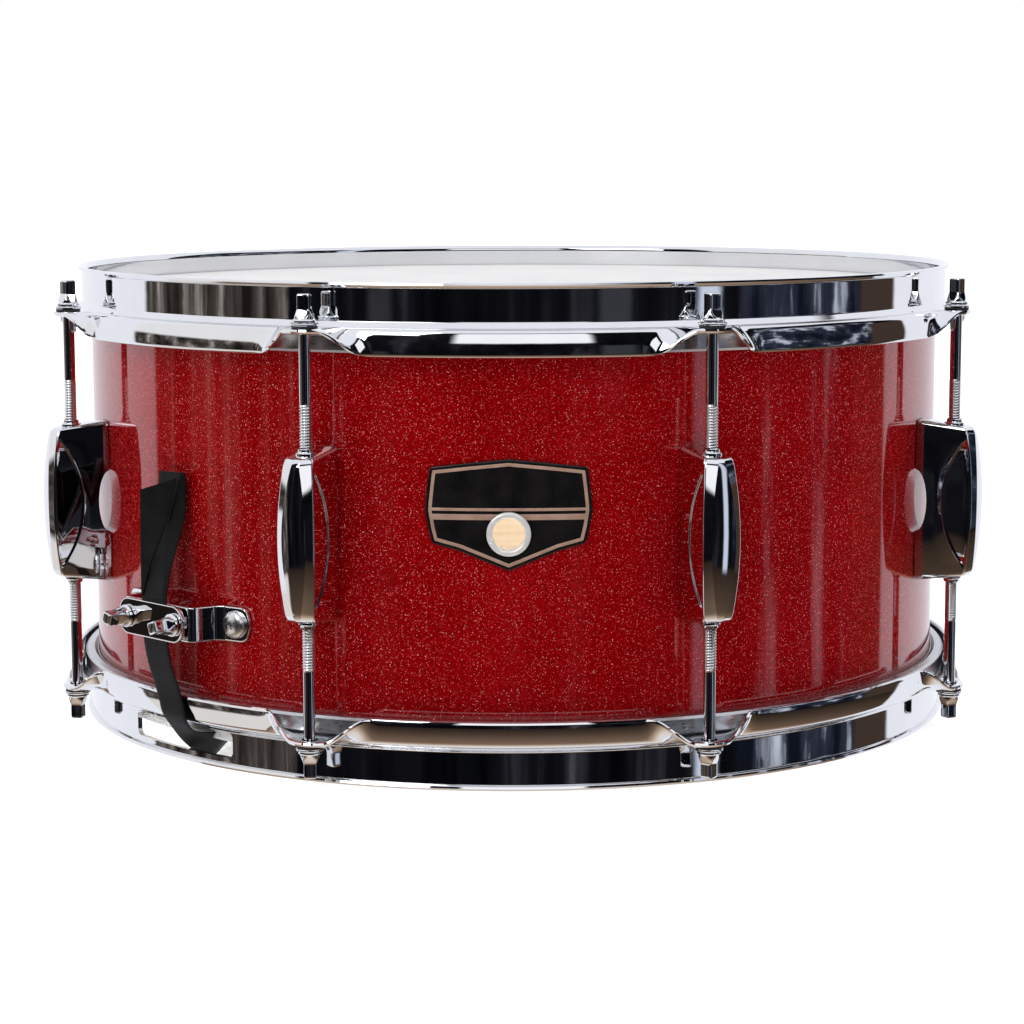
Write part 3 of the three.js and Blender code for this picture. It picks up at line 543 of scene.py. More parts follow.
def ribbon_material():
    """Black woven ribbon: fine ribs across it, threads along it, a dull sheen and grey wear."""
    made, tree, shader, where = new_material("strap_ribbon", Specular_IOR_Level=0.11)
    flat = node(tree, "TexCoord").outputs["UV"]
    part = node(tree, "SeparateXYZ", {"Vector": flat})
    ribs = calc(tree, "SINE", calc(tree, "MULTIPLY", part.outputs["X"], 2 * pi / 0.00062))
    warp = calc(tree, "SINE", calc(tree, "MULTIPLY", part.outputs["Y"], 2 * pi / 0.00045))
    weave = calc(tree, "MULTIPLY_ADD", ribs, 0.35, calc(tree, "MULTIPLY_ADD", warp, 0.15, 0.5))
    fuzz = noise_at(tree, where, 2400, 3, 0.7)
    fade = noise_at(tree, where, 120, 3)
    thread = ramp(tree, calc(tree, "MULTIPLY_ADD", fuzz, 0.5, calc(tree, "MULTIPLY", weave, 0.5)), [
        (0.25, (0.0008, 0.0008, 0.001)), (0.6, (0.0026, 0.0026, 0.0032)), (0.85, (0.009, 0.009, 0.0105))])
    colour = blend(tree, ramp(tree, fade, [(0.45, 0.0), (0.8, 0.2)]), thread, (0.015, 0.0155, 0.018))
    wire_up(tree, shader, Base_Color=colour, Roughness=ramp(tree, fuzz, [(0.3, 0.34), (0.7, 0.52)]),
            Normal=bump_of(tree, calc(tree, "MULTIPLY_ADD", fuzz, 0.3, weave), 0.00012, 0.8))
    return made


CHROME = chrome_material()
SPARKLE = sparkle_material()
WOOD = wood_material()
COATED = coated_head_material()
CLEAR = mottled_material(
    "clear_head", (60, 4), (60, 4), ((0.80, 0.83, 0.86), (0.92, 0.94, 0.96)), (0.16, 0.26), (0.00003, 0.4),
    Transmission_Weight=0.75, IOR=1.2)
ALUMINIUM = satin_metal_material("aluminium", (0.60, 0.61, 0.63), 0.3, (250, 250, 2200))
ZINC = satin_metal_material("zinc_plate", (0.80, 0.81, 0.82), 0.24, (900, 900, 900))
STEEL = satin_metal_material("spring_steel", (0.52, 0.53, 0.55), 0.24, (700, 700, 2600))
RIBBON = ribbon_material()
ENAMEL = mottled_material(
    "badge_black", (140, 3), (900, 2), ((0.003, 0.0028, 0.003), (0.007, 0.006, 0.0065)), (0.10, 0.18),
    (0.000012, 0.6), Specular_IOR_Level=0.35)
COPPER = mottled_material(
    "badge_copper", (200, 3), ((500, 500, 2600), 3), ((0.27, 0.165, 0.12), (0.37, 0.235, 0.18)), (0.3, 0.42),
    (0.00001, 0.5), Metallic=0.35)
NICKEL = mottled_material(
    "eyelet_nickel", (400, 3), (400, 3), ((0.62, 0.61, 0.60), (0.74, 0.73, 0.72)), (0.16, 0.28), (0.00001, 0.5),
    Metallic=0.5)
NYLON = mottled_material(
    "nylon_washer", (700, 3), (700, 3), ((0.012, 0.012, 0.013), (0.03, 0.03, 0.032)), (0.4, 0.6), (0.00002, 0.5),
    Specular_IOR_Level=0.4)

# ---------- Shell, wrap and heads ----------


def radial_cutter(radius, angle, z, inner, outer, segments=32):
    """A round bar along the radius at an angle, in the drum's frame with z from the mid-plane."""
    return Form().add(round_bar(radius, inner, outer, segments), spun(angle - 90) @ shift(z=z) @ OUTWARD)


def shell_cutters():
    """The vent and the holes for the bolts of the butt end and the strainer."""
    bolts = [(BUTT_ANGLE + turn, CLAMP_Z) for turn in (-BUTT_EAR_TURN, BUTT_EAR_TURN)]
    bolts += [(STRAINER_ANGLE, z) for z in STRAINER_SCREW_HEIGHTS]
    made = [radial_cutter(VENT_BORE, 0, VENT_Z, *THROUGH_SHELL, 48)]
    return made + [radial_cutter(BOLT_BORE, angle, z, *THROUGH_SHELL, 20) for angle, z in bolts]


def mirrored(profile):
    return [(radius, -z) for radius, z in reversed(profile)]


def make_shell():
    crest = SHELL_INNER + 3.2
    edge = [
        (SHELL_RADIUS, SHELL_HALF - 2.4), (SHELL_RADIUS - 0.5, SHELL_HALF - 1.1),
        (SHELL_RADIUS - 1.4, SHELL_HALF - 0.3), (crest, SHELL_HALF),
        (crest - 0.4, SHELL_HALF - 0.25), (SHELL_INNER + 0.1, SHELL_HALF - 3.2),
        (SHELL_INNER, SHELL_HALF - 3.6),
    ]
    shell = lathe(mirrored(edge) + edge, 240)
    place("shell_plies", carved(shell, "shell_plies", shell_cutters()), WOOD, "drum", ["shell"])

    inside, bevel = SHELL_RADIUS + 0.3, 0.2
    rim = [(WRAP_RADIUS, WRAP_HALF - bevel), (WRAP_RADIUS - bevel, WRAP_HALF), (inside, WRAP_HALF)]
    wrap = lathe(mirrored(rim) + rim, 288)
    place("sparkle_wrap", carved(wrap, "sparkle_wrap", shell_cutters()), SPARKLE, "drum", ["shell_wrap"])


def make_head(name, side, material):
    under = HEAD_TOP - HEAD_THICKNESS
    collar = HEAD_RADIUS - HEAD_THICKNESS
    outer_bend = filleted([(150, HEAD_TOP), (HEAD_RADIUS, HEAD_TOP), (HEAD_RADIUS, COLLAR_BOTTOM)], [2.4], 8)
    inner_bend = filleted([(collar, COLLAR_BOTTOM), (collar, under), (150, under)], [2.2], 8)
    spokes = [(r, HEAD_TOP) for r in (0, 40, 90, 130)]
    film = spokes + [tuple(p) for p in outer_bend] + [tuple(p) for p in inner_bend]
    film += [(r, under) for r in (130, 90, 40, 0)]
    at = DRUM_FRAME if side > 0 else DRUM_FRAME @ FLIPPED
    place(name + "_film", lathe(film, 240), material, "drum", [name + "_head"], at)
    inner, outer, low, high = FLESH
    r = FLESH_ROUND
    section = [(inner, low + r), (inner + r, low), (outer - r, low), (outer, low + r),
               (outer, high - r), (outer - r, high), (inner + r, high), (inner, high - r)]
    place(name + "_flesh_ring", lathe(section, 200), ALUMINIUM, "drum", [name + "_flesh_hoop"], at)


# ---------- Hoops ----------

EAR_STATIONS = (
    0, 0.7, 1.4, 2.1, 2.6, 3.1, 3.6, 4.1, 4.6, 5.1, 5.6, 6.2, 6.8, 7.6, 8.7, 10.2, 12.2, 14.3, 16.4, 18.5, 20.5,
)  # degrees from an ear's middle
SKIRT_SHARES = (0, 0.05, 0.2, 0.36, 0.52, 0.68, 0.84, 0.96, 1.0)


def both_ways(values):
    """The values from 0 up, with their negatives before them."""
    return [-v for v in reversed(values[1:])] + list(values)


def ear_share(offset):
    """1 at an ear, 0 where the flange hangs as a plain skirt."""
    t = min(max((abs(offset) - EAR_FLAT) / (EAR_FADE - EAR_FLAT), 0), 1)
    return 1 - t * t * (3 - 2 * t)


def hoop_section(offset):
    """The hoop's section: rolled lip, upright wall, shoulder, and the flange that is an ear or a skirt."""
    share = ear_share(offset)
    droop = radians(SKIRT_DROOP) * (1 - share)
    reach = (1 + cos(pi * min(abs(offset) / EAR_ROUND, 1))) / 2
    length = SKIRT_LENGTH + (EAR_LENGTH - SKIRT_LENGTH) * reach - 0.7
    corners = [(181.0, 91.5), (HOOP_WALL, 91.5), (HOOP_WALL, 77.9), (181.7, 75.2), (FLANGE_START, 75.2)]
    upper = filleted(corners, [1.3, 1.6, 1.2], 7)
    flare = radians(SKIRT_CURVE) * (1 - share)
    bend = []
    for k in range(1, 8):
        t = (droop - flare / 2) * k / 7
        bend.append(Vector((FLANGE_START + FLANGE_BEND * sin(t), FLANGE_CENTRE_Z + FLANGE_BEND * cos(t))))
    run = [bend[-1]]
    for before, after in zip(SKIRT_SHARES, SKIRT_SHARES[1:]):
        t = droop + flare * ((before + after) / 2 - 0.5)
        run.append(run[-1] + Vector((cos(t), -sin(t))) * length * (after - before))
    return sheet_section(braced(upper, 0.35) + bend + run[1:], HOOP_HALF_SHEET)


def make_hoop(name, side):
    sector = both_ways(EAR_STATIONS) + [22.5]
    sections = []
    for ear in LUG_ANGLES:
        for offset in sector:
            t = radians(ear + offset - 90)
            c, s = cos(t), sin(t)
            sections.append([(p.x * c, p.x * s, p.y * side) for p in hoop_section(offset)])
    flip = FLIPPED if side < 0 else Matrix()
    hole = round_bar(ROD_HOLE, EAR_TOP - 8, EAR_TOP + 8)
    cutters = [Form().add(hole, flip @ spun(angle - 90) @ shift(ROD_CIRCLE)) for angle in LUG_ANGLES]
    if side < 0:
        outline = rounded_outline(GATE_HALF, (GATE_HIGH - GATE_LOW) / 2, 2.6)
        middle = (GATE_HIGH + GATE_LOW) / 2
        gate = capped([[(x, y, middle + z) for y, z in outline] for x in (172.5, 186.5)])
        cutters += [Form().add(gate, spun(angle - 90)) for angle in (BUTT_ANGLE, STRAINER_ANGLE)]
    place(name + "_flanged", carved(skinned(sections), name, cutters), CHROME, "drum", [name], sharp=40)


# ---------- Lugs ----------

LUG_BACK = 177.1
LUG_HALF_BACK = 32.3
LUG_HALF_FRONT = 29.7
LUG_FRONT = 199.0
LUG_BULGE = 2.8
LUG_ROWS = (
    0, 0.07, 0.14, 0.21, 0.27, 0.32, 0.355, 0.375, 0.387, 0.392, 0.44, 0.5, 0.56, 0.62, 0.68, 0.73, 0.77, 0.8,
    0.83, 0.86, 0.89, 0.915, 0.94, 0.96, 0.975, 0.987, 0.996, 1.0,
)
LUG_ARCH = (12.6, 4.6)  # half height and depth of the arch that keeps the lug's middle off the shell
LUG_RECESS = 0.84  # height share at which the recess in each side ends
LUG_EDGE = 0.8  # radius between a side and the front
LUG_CROWN = 68  # twice the radius of the front face's crown


def lug_row(v):
    """A section across the lug at the height share v, from -1 to 1, as points (x, y)."""

    def rounding_from(start):
        tip = min(max((abs(v) - start) / (1 - start), 0), 1)
        return 1 - sqrt(max(1 - tip * tip, 0))

    rounding, front_rounding = rounding_from(0.955), rounding_from(0.88)
    arch = abs(v) * LUG_HALF_BACK / LUG_ARCH[0]
    back = LUG_BACK + (LUG_ARCH[1] * sqrt(1 - arch * arch) if arch < 1 else 0)
    half = 5.6 + 1.9 * (1 - v * v) - 1.1 * rounding
    front = LUG_FRONT + LUG_BULGE * (1 - v * v) - 1.5 * front_rounding - 0.8 * rounding
    ridge = 1.0 + 3.8 * (1 - v * v)  # half width of the lens-shaped front face
    bow = front - ridge * ridge / LUG_CROWN
    slope = 0.40 + 0.20 * (1 - v * v)
    lean = atan(slope)
    dip = min(max((LUG_RECESS - abs(v)) / 0.05, 0), 1)  # 1 where the side has its shallow recess
    ledge = 0.42 * dip * (2 - dip)
    edge = half - 0.9 * front_rounding
    bend = edge - LUG_EDGE + LUG_EDGE * sin(lean)
    shoulder = bow - LUG_EDGE * cos(lean) - slope * (bend - ridge)
    crease = shoulder - 0.9 - 10.4 * max(1 - (v / LUG_RECESS) ** 2, 0)
    points = [
        (back + 0.5 * rounding, half), (back + (crease - back) * 0.5, half), (crease - 0.7, half),
        (crease - 0.45, half + 0.03 * dip), (crease - 0.1, half - 0.25 * ledge),
        (crease + 0.45, half - 0.85 * ledge), (crease + 0.65, half - ledge),
    ]
    for t in (0.35, 0.7, 0.92):
        along = crease + 0.65 + (shoulder - crease - 0.65) * t
        points.append((along, half - ledge * (1 - 0.9 * t) - 0.9 * front_rounding * t * t))
    for k in range(7):
        t = pi / 2 - (pi / 2 - lean) * k / 6
        points.append((shoulder + LUG_EDGE * cos(t), edge - LUG_EDGE + LUG_EDGE * sin(t)))
    x, y = points[-1]
    points += [(x + (bow - x) * t, y - (y - ridge) * t) for t in (0.06, 0.5, 0.94, 1.0)]
    points += [(front - (ridge * t) ** 2 / LUG_CROWN, ridge * t) for t in (0.95, 0.6, 0.3, 0)]
    return points + [(x, -y) for x, y in reversed(points[:-1])]


def lug_mesh():
    slope = (LUG_HALF_BACK - LUG_HALF_FRONT) / (LUG_FRONT - LUG_BACK)
    sections = []
    for v in both_ways(LUG_ROWS):
        sections.append([(x, y, v * (LUG_HALF_BACK - slope * (x - LUG_BACK))) for x, y in lug_row(v)])
    bore = round_bar(2.75, 14, 40, 28)
    bores = [Form().add(bore, shift(ROD_CIRCLE) @ flip) for flip in (Matrix(), FLIPPED)]
    return carved(capped(sections), "lug_casting", bores)


def collar_form():
    """The swivel nut's rim, which stands out of the lug's end round the rod."""
    return lathe([(2.7, 29.0), (3.95, 29.0), (3.95, 31.2), (3.7, 31.5), (3.2, 31.6), (3.1, 31.9), (3.1, 32.6),
                  (2.9, 32.8), (2.7, 32.7)], 36)


# ---------- Tension rods ----------

THREAD_PITCH = 1.06
THREAD_TOP = 48.9
KEY_HALF = 2.35
SCREW_SEGMENTS = 22


def threaded(low, high, major, minor, rows_per_turn=6):
    """Sections of a screw thread from low to high."""
    sections = []
    rows = int((high - low) / THREAD_PITCH * rows_per_turn)
    for k in range(rows + 1):
        z = low + (high - low) * k / rows
        fade = min(1, (high - z) / 1.2, (z - low) / 0.6)
        points = []
        for i in range(SCREW_SEGMENTS):
            t = i / SCREW_SEGMENTS
            phase = (z / THREAD_PITCH - t) % 1
            crest = 1 - abs(2 * phase - 1)
            depth = minor + (major - minor) * min(1, crest * 1.35) if fade > 0 else minor
            radius = depth * max(fade, 0) + (minor + 0.1) * (1 - max(fade, 0))
            points.append((radius * cos(2 * pi * t), radius * sin(2 * pi * t), z))
        sections.append(points)
    return sections


def key_head(flange_low, flange_radius, cone_top, key_top):
    """A drum-key head: round flange, coved cone turning square, square key."""
    start = flange_low + 1.3
    foot = 0.86 * flange_radius
    rows = [
        (flange_radius - 0.25, 2, flange_low), (flange_radius, 2, flange_low + 0.3),
        (flange_radius, 2, flange_low + 0.9), (flange_radius - 0.3, 2, start), (foot + 0.15, 2, start + 0.05),
    ]
    for k in range(8):
        t = k / 7
        half = foot + (KEY_HALF + 0.03 - foot) * (1 - (1 - t) ** 1.15)
        rows.append((half, 2 + 8 * t ** 1.4, start + 0.15 + (cone_top - start - 0.15) * t))
    rows += [(KEY_HALF, 10, z) for z in (cone_top + 0.35, cone_top + 0.65, key_top - 1.05, key_top - 0.8)]
    rows += [
        (KEY_HALF - 0.12, 10, key_top - 0.35), (KEY_HALF - 0.5, 9, key_top - 0.05), (KEY_HALF - 0.9, 8, key_top),
    ]
    return capped([squircle(half, power, z, 32) for half, power, z in rows])


def rod_mesh():
    """A tension rod as it stands in the top hoop, its axis on Z, heights from the mid-plane."""
    tip = circles(((1.6, 17), (2.1, 18), (2.1, 28)), SCREW_SEGMENTS)
    thread = threaded(28.2, THREAD_TOP, 2.5, 2.12)
    shank = ((2.25, THREAD_TOP + 0.3), (2.3, THREAD_TOP + 0.8), (2.3, 72.0), (2.3, EAR_TOP + 2.2))
    rod = capped(tip + thread + circles(shank, SCREW_SEGMENTS))
    return rod.add(key_head(EAR_TOP + 1.9, 4.5, 82.9, 88.6)).mesh("tension_rod")


def washer_form(inner, outer, low, high, segments=40):
    r = min(0.28, (high - low) / 3)
    return lathe([(inner, low), (outer - r, low), (outer, low + r), (outer, high - r), (outer - r, high),
                  (inner + 0.15, high), (inner, high - 0.15)], segments)


# how far each rod's square head is turned, in degrees, upper rods first
ROD_TURNS = (8, -20, 31, 4, 47, -12, 22, 15, -31, 40, 3, 27, -8, 18, 35, -25)


def make_tension_hardware():
    lug = lug_mesh()
    rod = rod_mesh()
    collars = Form().add(collar_form()).add(collar_form(), FLIPPED).mesh("lug_collar")
    steel = washer_form(2.6, 5.3, EAR_TOP + 0.95, EAR_TOP + 1.85).mesh("steel_washer")
    dark = washer_form(2.6, 4.9, EAR_TOP + 0.05, EAR_TOP + 0.9).mesh("dark_washer")
    for i, angle in enumerate(LUG_ANGLES, 1):
        place(f"lug_{i}_casting", lug, CHROME, "drum", [f"lug_{i}"], local_frame(angle), sharp=18)
        at_rod = local_frame(angle, ROD_CIRCLE)
        place(f"lug_{i}_collars", collars, CHROME, "drum", (), at_rod)
        for side, flip, index in (("top", Matrix(), i), ("bottom", FLIPPED, i + 8)):
            body = f"{side}_tension_rod_{i}"
            spin = spun(ROD_TURNS[index - 1])
            place(f"{side}_rod_{i}", rod, CHROME, body, [body], at_rod @ flip @ spin, sharp=30)
            place(f"{side}_rod_{i}_washer", steel, CHROME, body, (), at_rod @ flip)
            place(f"{side}_rod_{i}_seat", dark, NYLON, body, (), at_rod @ flip)


# ---------- Badge and vent ----------

BADGE_FACE = 177.9
BADGE_BAR_HALF = 27.8
BADGE_MIDDLE = 8
BADGE_OUTLINE = (
    (0, 29.0), (14.3, 27.6), (27.9, 26.0), (28.7, 25.2), (29.5, 19.0), (30.2, 12.5), (30.3, 10.0), (29.3, 4.0),
    (28.1, -1.0), (27.4, -1.9), (18.0, -4.4), (9.0, -8.0), (0, -11.7),
)


def on_shell(y, z, radius):
    """A point at arc length y round the badge's cylinder, in the badge's local frame."""
    t = y / WRAP_RADIUS
    return (radius * cos(t), radius * sin(t), z)


def badge_strip(form, path_a, path_b, low, high, closed):
    """A raised strip between two paths of (y, z) points that run side by side."""
    rings = []
    for a, b in zip(path_a, path_b):
        edge = (Vector(b) - Vector(a)) * 0.12
        rows = [(a, low), (Vector(a) + edge * 0.2, high - 0.05), (Vector(a) + edge, high)]
        rows += [(Vector(b) - edge, high), (Vector(b) - edge * 0.2, high - 0.05), (b, low)]
        rings.append(form.ring([on_shell(*spot, radius) for spot, radius in rows]))
    form.skin(rings, looped=closed)
    if not closed:
        form.cap(rings[0])
        form.cap(rings[-1])


def inset_pairs(inset_a, inset_b):
    """Two outlines of the shield at different insets, point for point."""
    right = [Vector(p) for p in BADGE_OUTLINE]
    whole = right + [Vector((-p.x, p.y)) for p in reversed(right[1:-1])]
    count = len(whole)

    def moved(inset):
        made = []
        for i, p in enumerate(whole):
            a, b = (p - whole[i - 1]).normalized(), (whole[(i + 1) % count] - p).normalized()
            along = (a + b).normalized()
            across = Vector((-along.y, along.x))
            inward = across if across.dot(Vector((0, BADGE_MIDDLE)) - p) > 0 else -across
            made.append(p + inward * inset / max(along.dot(b), 0.3))
        return made

    first, second = moved(inset_a), moved(inset_b)
    out_a, out_b = [], []
    for i in range(count):
        j = (i + 1) % count
        steps = max(1, int((whole[j] - whole[i]).length / 1.4))
        for k in range(steps):
            out_a.append(first[i] + (first[j] - first[i]) * k / steps)
            out_b.append(second[i] + (second[j] - second[i]) * k / steps)
    return out_a, out_b


def badge_rows(form, inset, radius):
    """Rings of points that shrink to the badge's middle on a cylinder of the given radius."""
    outline = inset_pairs(inset, inset)[0]
    rows = []
    for share in (1.0, 0.8, 0.6, 0.4, 0.2):
        rows.append(form.ring([
            on_shell(p.x * share, BADGE_MIDDLE + (p.y - BADGE_MIDDLE) * share, radius) for p in outline]))
    return rows + [form.ring([on_shell(0, BADGE_MIDDLE, radius)])]


def make_badge():
    low, high = WRAP_RADIUS + 0.02, BADGE_FACE
    bore = Form().add(radial_cutter(7.2, 0, VENT_Z, 170, 185, 48), spun(90))
    form = Form()
    back = badge_rows(form, 0.0, low)
    edge = []
    for inset, radius in ((0.0, high - 0.3), (0.12, high - 0.08)):
        edge.append(form.ring([on_shell(p.x, p.y, radius) for p in inset_pairs(inset, inset)[0]]))
    front = badge_rows(form, 0.45, high)
    form.skin(back[::-1] + edge + front)
    place("badge_plate", carved(form, "badge_plate", [bore]), ENAMEL, "drum", ["badge"],
          local_frame(0), sharp=50)

    trim = Form()
    badge_strip(trim, *inset_pairs(1.25, 2.5), high - 0.1, high + 0.16, True)
    ys = [BADGE_BAR_HALF * (1 - 2 * k / 40) for k in range(41)]
    for bottom, top in ((10.2, 11.3), (6.9, 9.1)):
        badge_strip(trim, [(y, bottom) for y in ys], [(y, top) for y in ys], high - 0.1, high + 0.14, False)
    place("badge_trim", carved(trim, "badge_trim", [bore]), COPPER, "drum", (), local_frame(0), sharp=50)

    face = BADGE_FACE + 0.1
    rim = face + 1.7
    corners = [(6.9, face - 1.5), (6.9, face), (8.1, face), (8.1, rim), (5.9, rim), (5.9, face - 0.6)]
    profile = [tuple(p) for p in filleted(corners, [0.2, 0.2, 0.85, 0.85], 6)]
    inside = SHELL_INNER - 0.4
    profile += [(6.3, face - 1.2), (6.3, inside - 0.4), (7.9, inside - 0.7), (8.1, inside - 0.3),
                (8.0, inside + 0.1), (6.9, inside + 0.1)]
    place("vent_eyelet", lathe(profile, 72), NICKEL, "drum", ["vent_grommet"],
          local_frame(0, 0, 0, VENT_Z) @ OUTWARD, sharp=40)


# ---------- Screws ----------


def key_screw_form(shank):
    """A drum-key screw along Z, its flange resting at z = 0 and its square head upwards."""
    tip = circles(((1.5, -shank), (2.0, -shank + 0.5)), SCREW_SEGMENTS)
    thread = threaded(-shank + 0.6, -0.2, 2.3, 1.95)
    screw = capped(tip + thread + circles([(2.1, 0.5)], SCREW_SEGMENTS))
    return screw.add(key_head(0.0, 4.3, 5.4, 9.8))


def round_screw_mesh(name, shank, radius):
    """A domed screw along Z with a cross recess, its head resting at z = 0."""
    dome = [(0, -shank), (2.0, -shank), (2.05, -0.1), (radius - 0.5, -0.05), (radius - 0.05, 0.25), (radius, 0.7)]
    for k in range(1, 9):
        t = pi / 2 * k / 8
        dome.append((radius * cos(t) if k < 8 else 0, 0.7 + 2.1 * sin(t)))
    half, reach = 0.36, 1.9
    outline = []
    for quarter in range(4):
        t = radians(90 * quarter)
        c, s = cos(t), sin(t)
        outline += [(x * c - y * s, x * s + y * c) for x, y in ((reach, -half), (reach, half), (half, half))]
    ends = ((0.4, 1.4), (1, 3.2))
    cross = capped([[(x * share, y * share, z) for x, y in outline] for share, z in ends])
    return carved(lathe(dome, 40), name, [cross])


# ---------- Butt end ----------

BRACKET_FRONT = 188.4
BRACKET_HALF_PATH = ((BRACKET_FRONT, 0), (BRACKET_FRONT, 20.2), (178.2, 22.0), (175.9, 25.2), (173.3, 37.0))
BRACKET_FILLETS = (2.6, 3.2, 3.0)
BRACKET_SHEET = 1.6
BRACKET_HALF_HEIGHT = 6.6
BRACKET_ROUND = (32.6, 4.4)  # where an ear's rounded end starts along Y, and its length
STRAP_WIDTH = 15.0
STRAP_THICKNESS = 0.8
STRAP_GAP = 0.3
BUTT_CLAMP_X = BRACKET_FRONT + BRACKET_SHEET + STRAP_GAP + STRAP_THICKNESS + STRAP_GAP  # back of the clamp bar
EDGE_FOLD = 0.62  # how far a folded edge falls back, as a share of its width


def heading(path, i):
    """The direction of a path at its point i, from the points on both sides."""
    return (path[min(i + 1, len(path) - 1)] - path[max(i - 1, 0)]).normalized()


def bracket_form():
    """The omega bracket: a raised middle, a step down each side, and an ear on the shell."""
    half = filleted([(x + BRACKET_SHEET / 2, y) for x, y in BRACKET_HALF_PATH], BRACKET_FILLETS, 7)
    straight = [half[0] + (half[1] - half[0]) * k / 6 for k in range(1, 6)]
    ear = [half[-2] + (half[-1] - half[-2]) * k / 8 for k in range(1, 9)]
    side = [half[0]] + straight + half[1:-1] + ear
    path = [Vector((p.x, -p.y)) for p in reversed(side[1:])] + side
    t, e = BRACKET_SHEET / 2, 0.35
    sections = []
    for i, p in enumerate(path):
        along = heading(path, i)
        across = Vector((along.y, -along.x))
        run_out = max(0.0, (abs(p.y) - BRACKET_ROUND[0]) / BRACKET_ROUND[1])
        high = BRACKET_HALF_HEIGHT * sqrt(max(1 - run_out ** 2.4, 0.02))
        section = [(t, high - e - 0.3), (t, high - e), (t - e * 0.3, high - e * 0.3), (t - e, high)]
        section += [(-a, b) for a, b in reversed(section)]
        section += [(a, -b) for a, b in reversed(section)]
        sections.append([(p.x + across.x * a, p.y + across.y * a, b) for a, b in section])
    return capped(sections)


def ribbon_form(stations):
    """A woven ribbon. Each station is (centre, direction across, width, width of the folded edge)."""
    form = Form()
    rings = []
    run = 0.0
    count = 14
    centres = [Vector(station[0]) for station in stations]
    for i, (_, across, width, bent) in enumerate(stations):
        across = Vector(across).normalized()
        face = heading(centres, i).cross(across).normalized()
        if i:
            run += (centres[i] - centres[i - 1]).length
        points, uvs = [], []
        for side in (1, -1):
            for k in range(count + 1):
                share = (-1 + 2 * k / count) * side
                swell = STRAP_THICKNESS / 2 * (1 if abs(share) < 0.99 else 0.55)
                fold = EDGE_FOLD * max(0, bent - (1 - share) * width / 2)
                points.append(centres[i] + across * (share * width / 2) + face * (swell * side - fold))
                uvs.append((run * MM, (share + 1) / 2 * width * MM))
        rings.append(form.ring(points, uvs))
    form.tube(rings)
    return form


def curved(points, count):
    """A smooth run of points through the given ones (Catmull-Rom), each a tuple of numbers."""
    size = len(points[0])
    out = []
    spans = len(points) - 1
    for k in range(count + 1):
        s = spans * k / count
        i = min(int(s), spans - 1)
        t = s - i
        p0, p1, p2, p3 = (points[max(min(j, spans), 0)] for j in (i - 1, i, i + 1, i + 2))
        out.append(tuple(
            0.5 * (2 * p1[d] + (p2[d] - p0[d]) * t + (2 * p0[d] - 5 * p1[d] + 4 * p2[d] - p3[d]) * t * t
                   + (3 * p1[d] - p0[d] - 3 * p2[d] + p3[d]) * t ** 3) for d in range(size)))
    return out


def strap_stations(path, count, wander=0.0):
    """Stations of a strap from control points (x, y, z, turn, slant, bent): its twist in degrees, the rise
    across it and the width of its folded edge."""
    made = []
    for x, y, z, turn, slant, bent in curved(path, count):
        ripple = wander * noise.noise((z * 0.05, 3.1, 0.3))
        t = radians(turn)
        made.append(((x + ripple, y, z), (sin(t), cos(t), slant), STRAP_WIDTH, bent))
    return made


def flap_stations(edges, count):
    """Stations of a folded flap from its left and right edge points, six numbers at a time."""
    made = []
    for numbers in curved(edges, count):
        left, right = Vector(numbers[:3]), Vector(numbers[3:])
        made.append(((left + right) / 2, right - left, (right - left).length, 0.0))
    return made


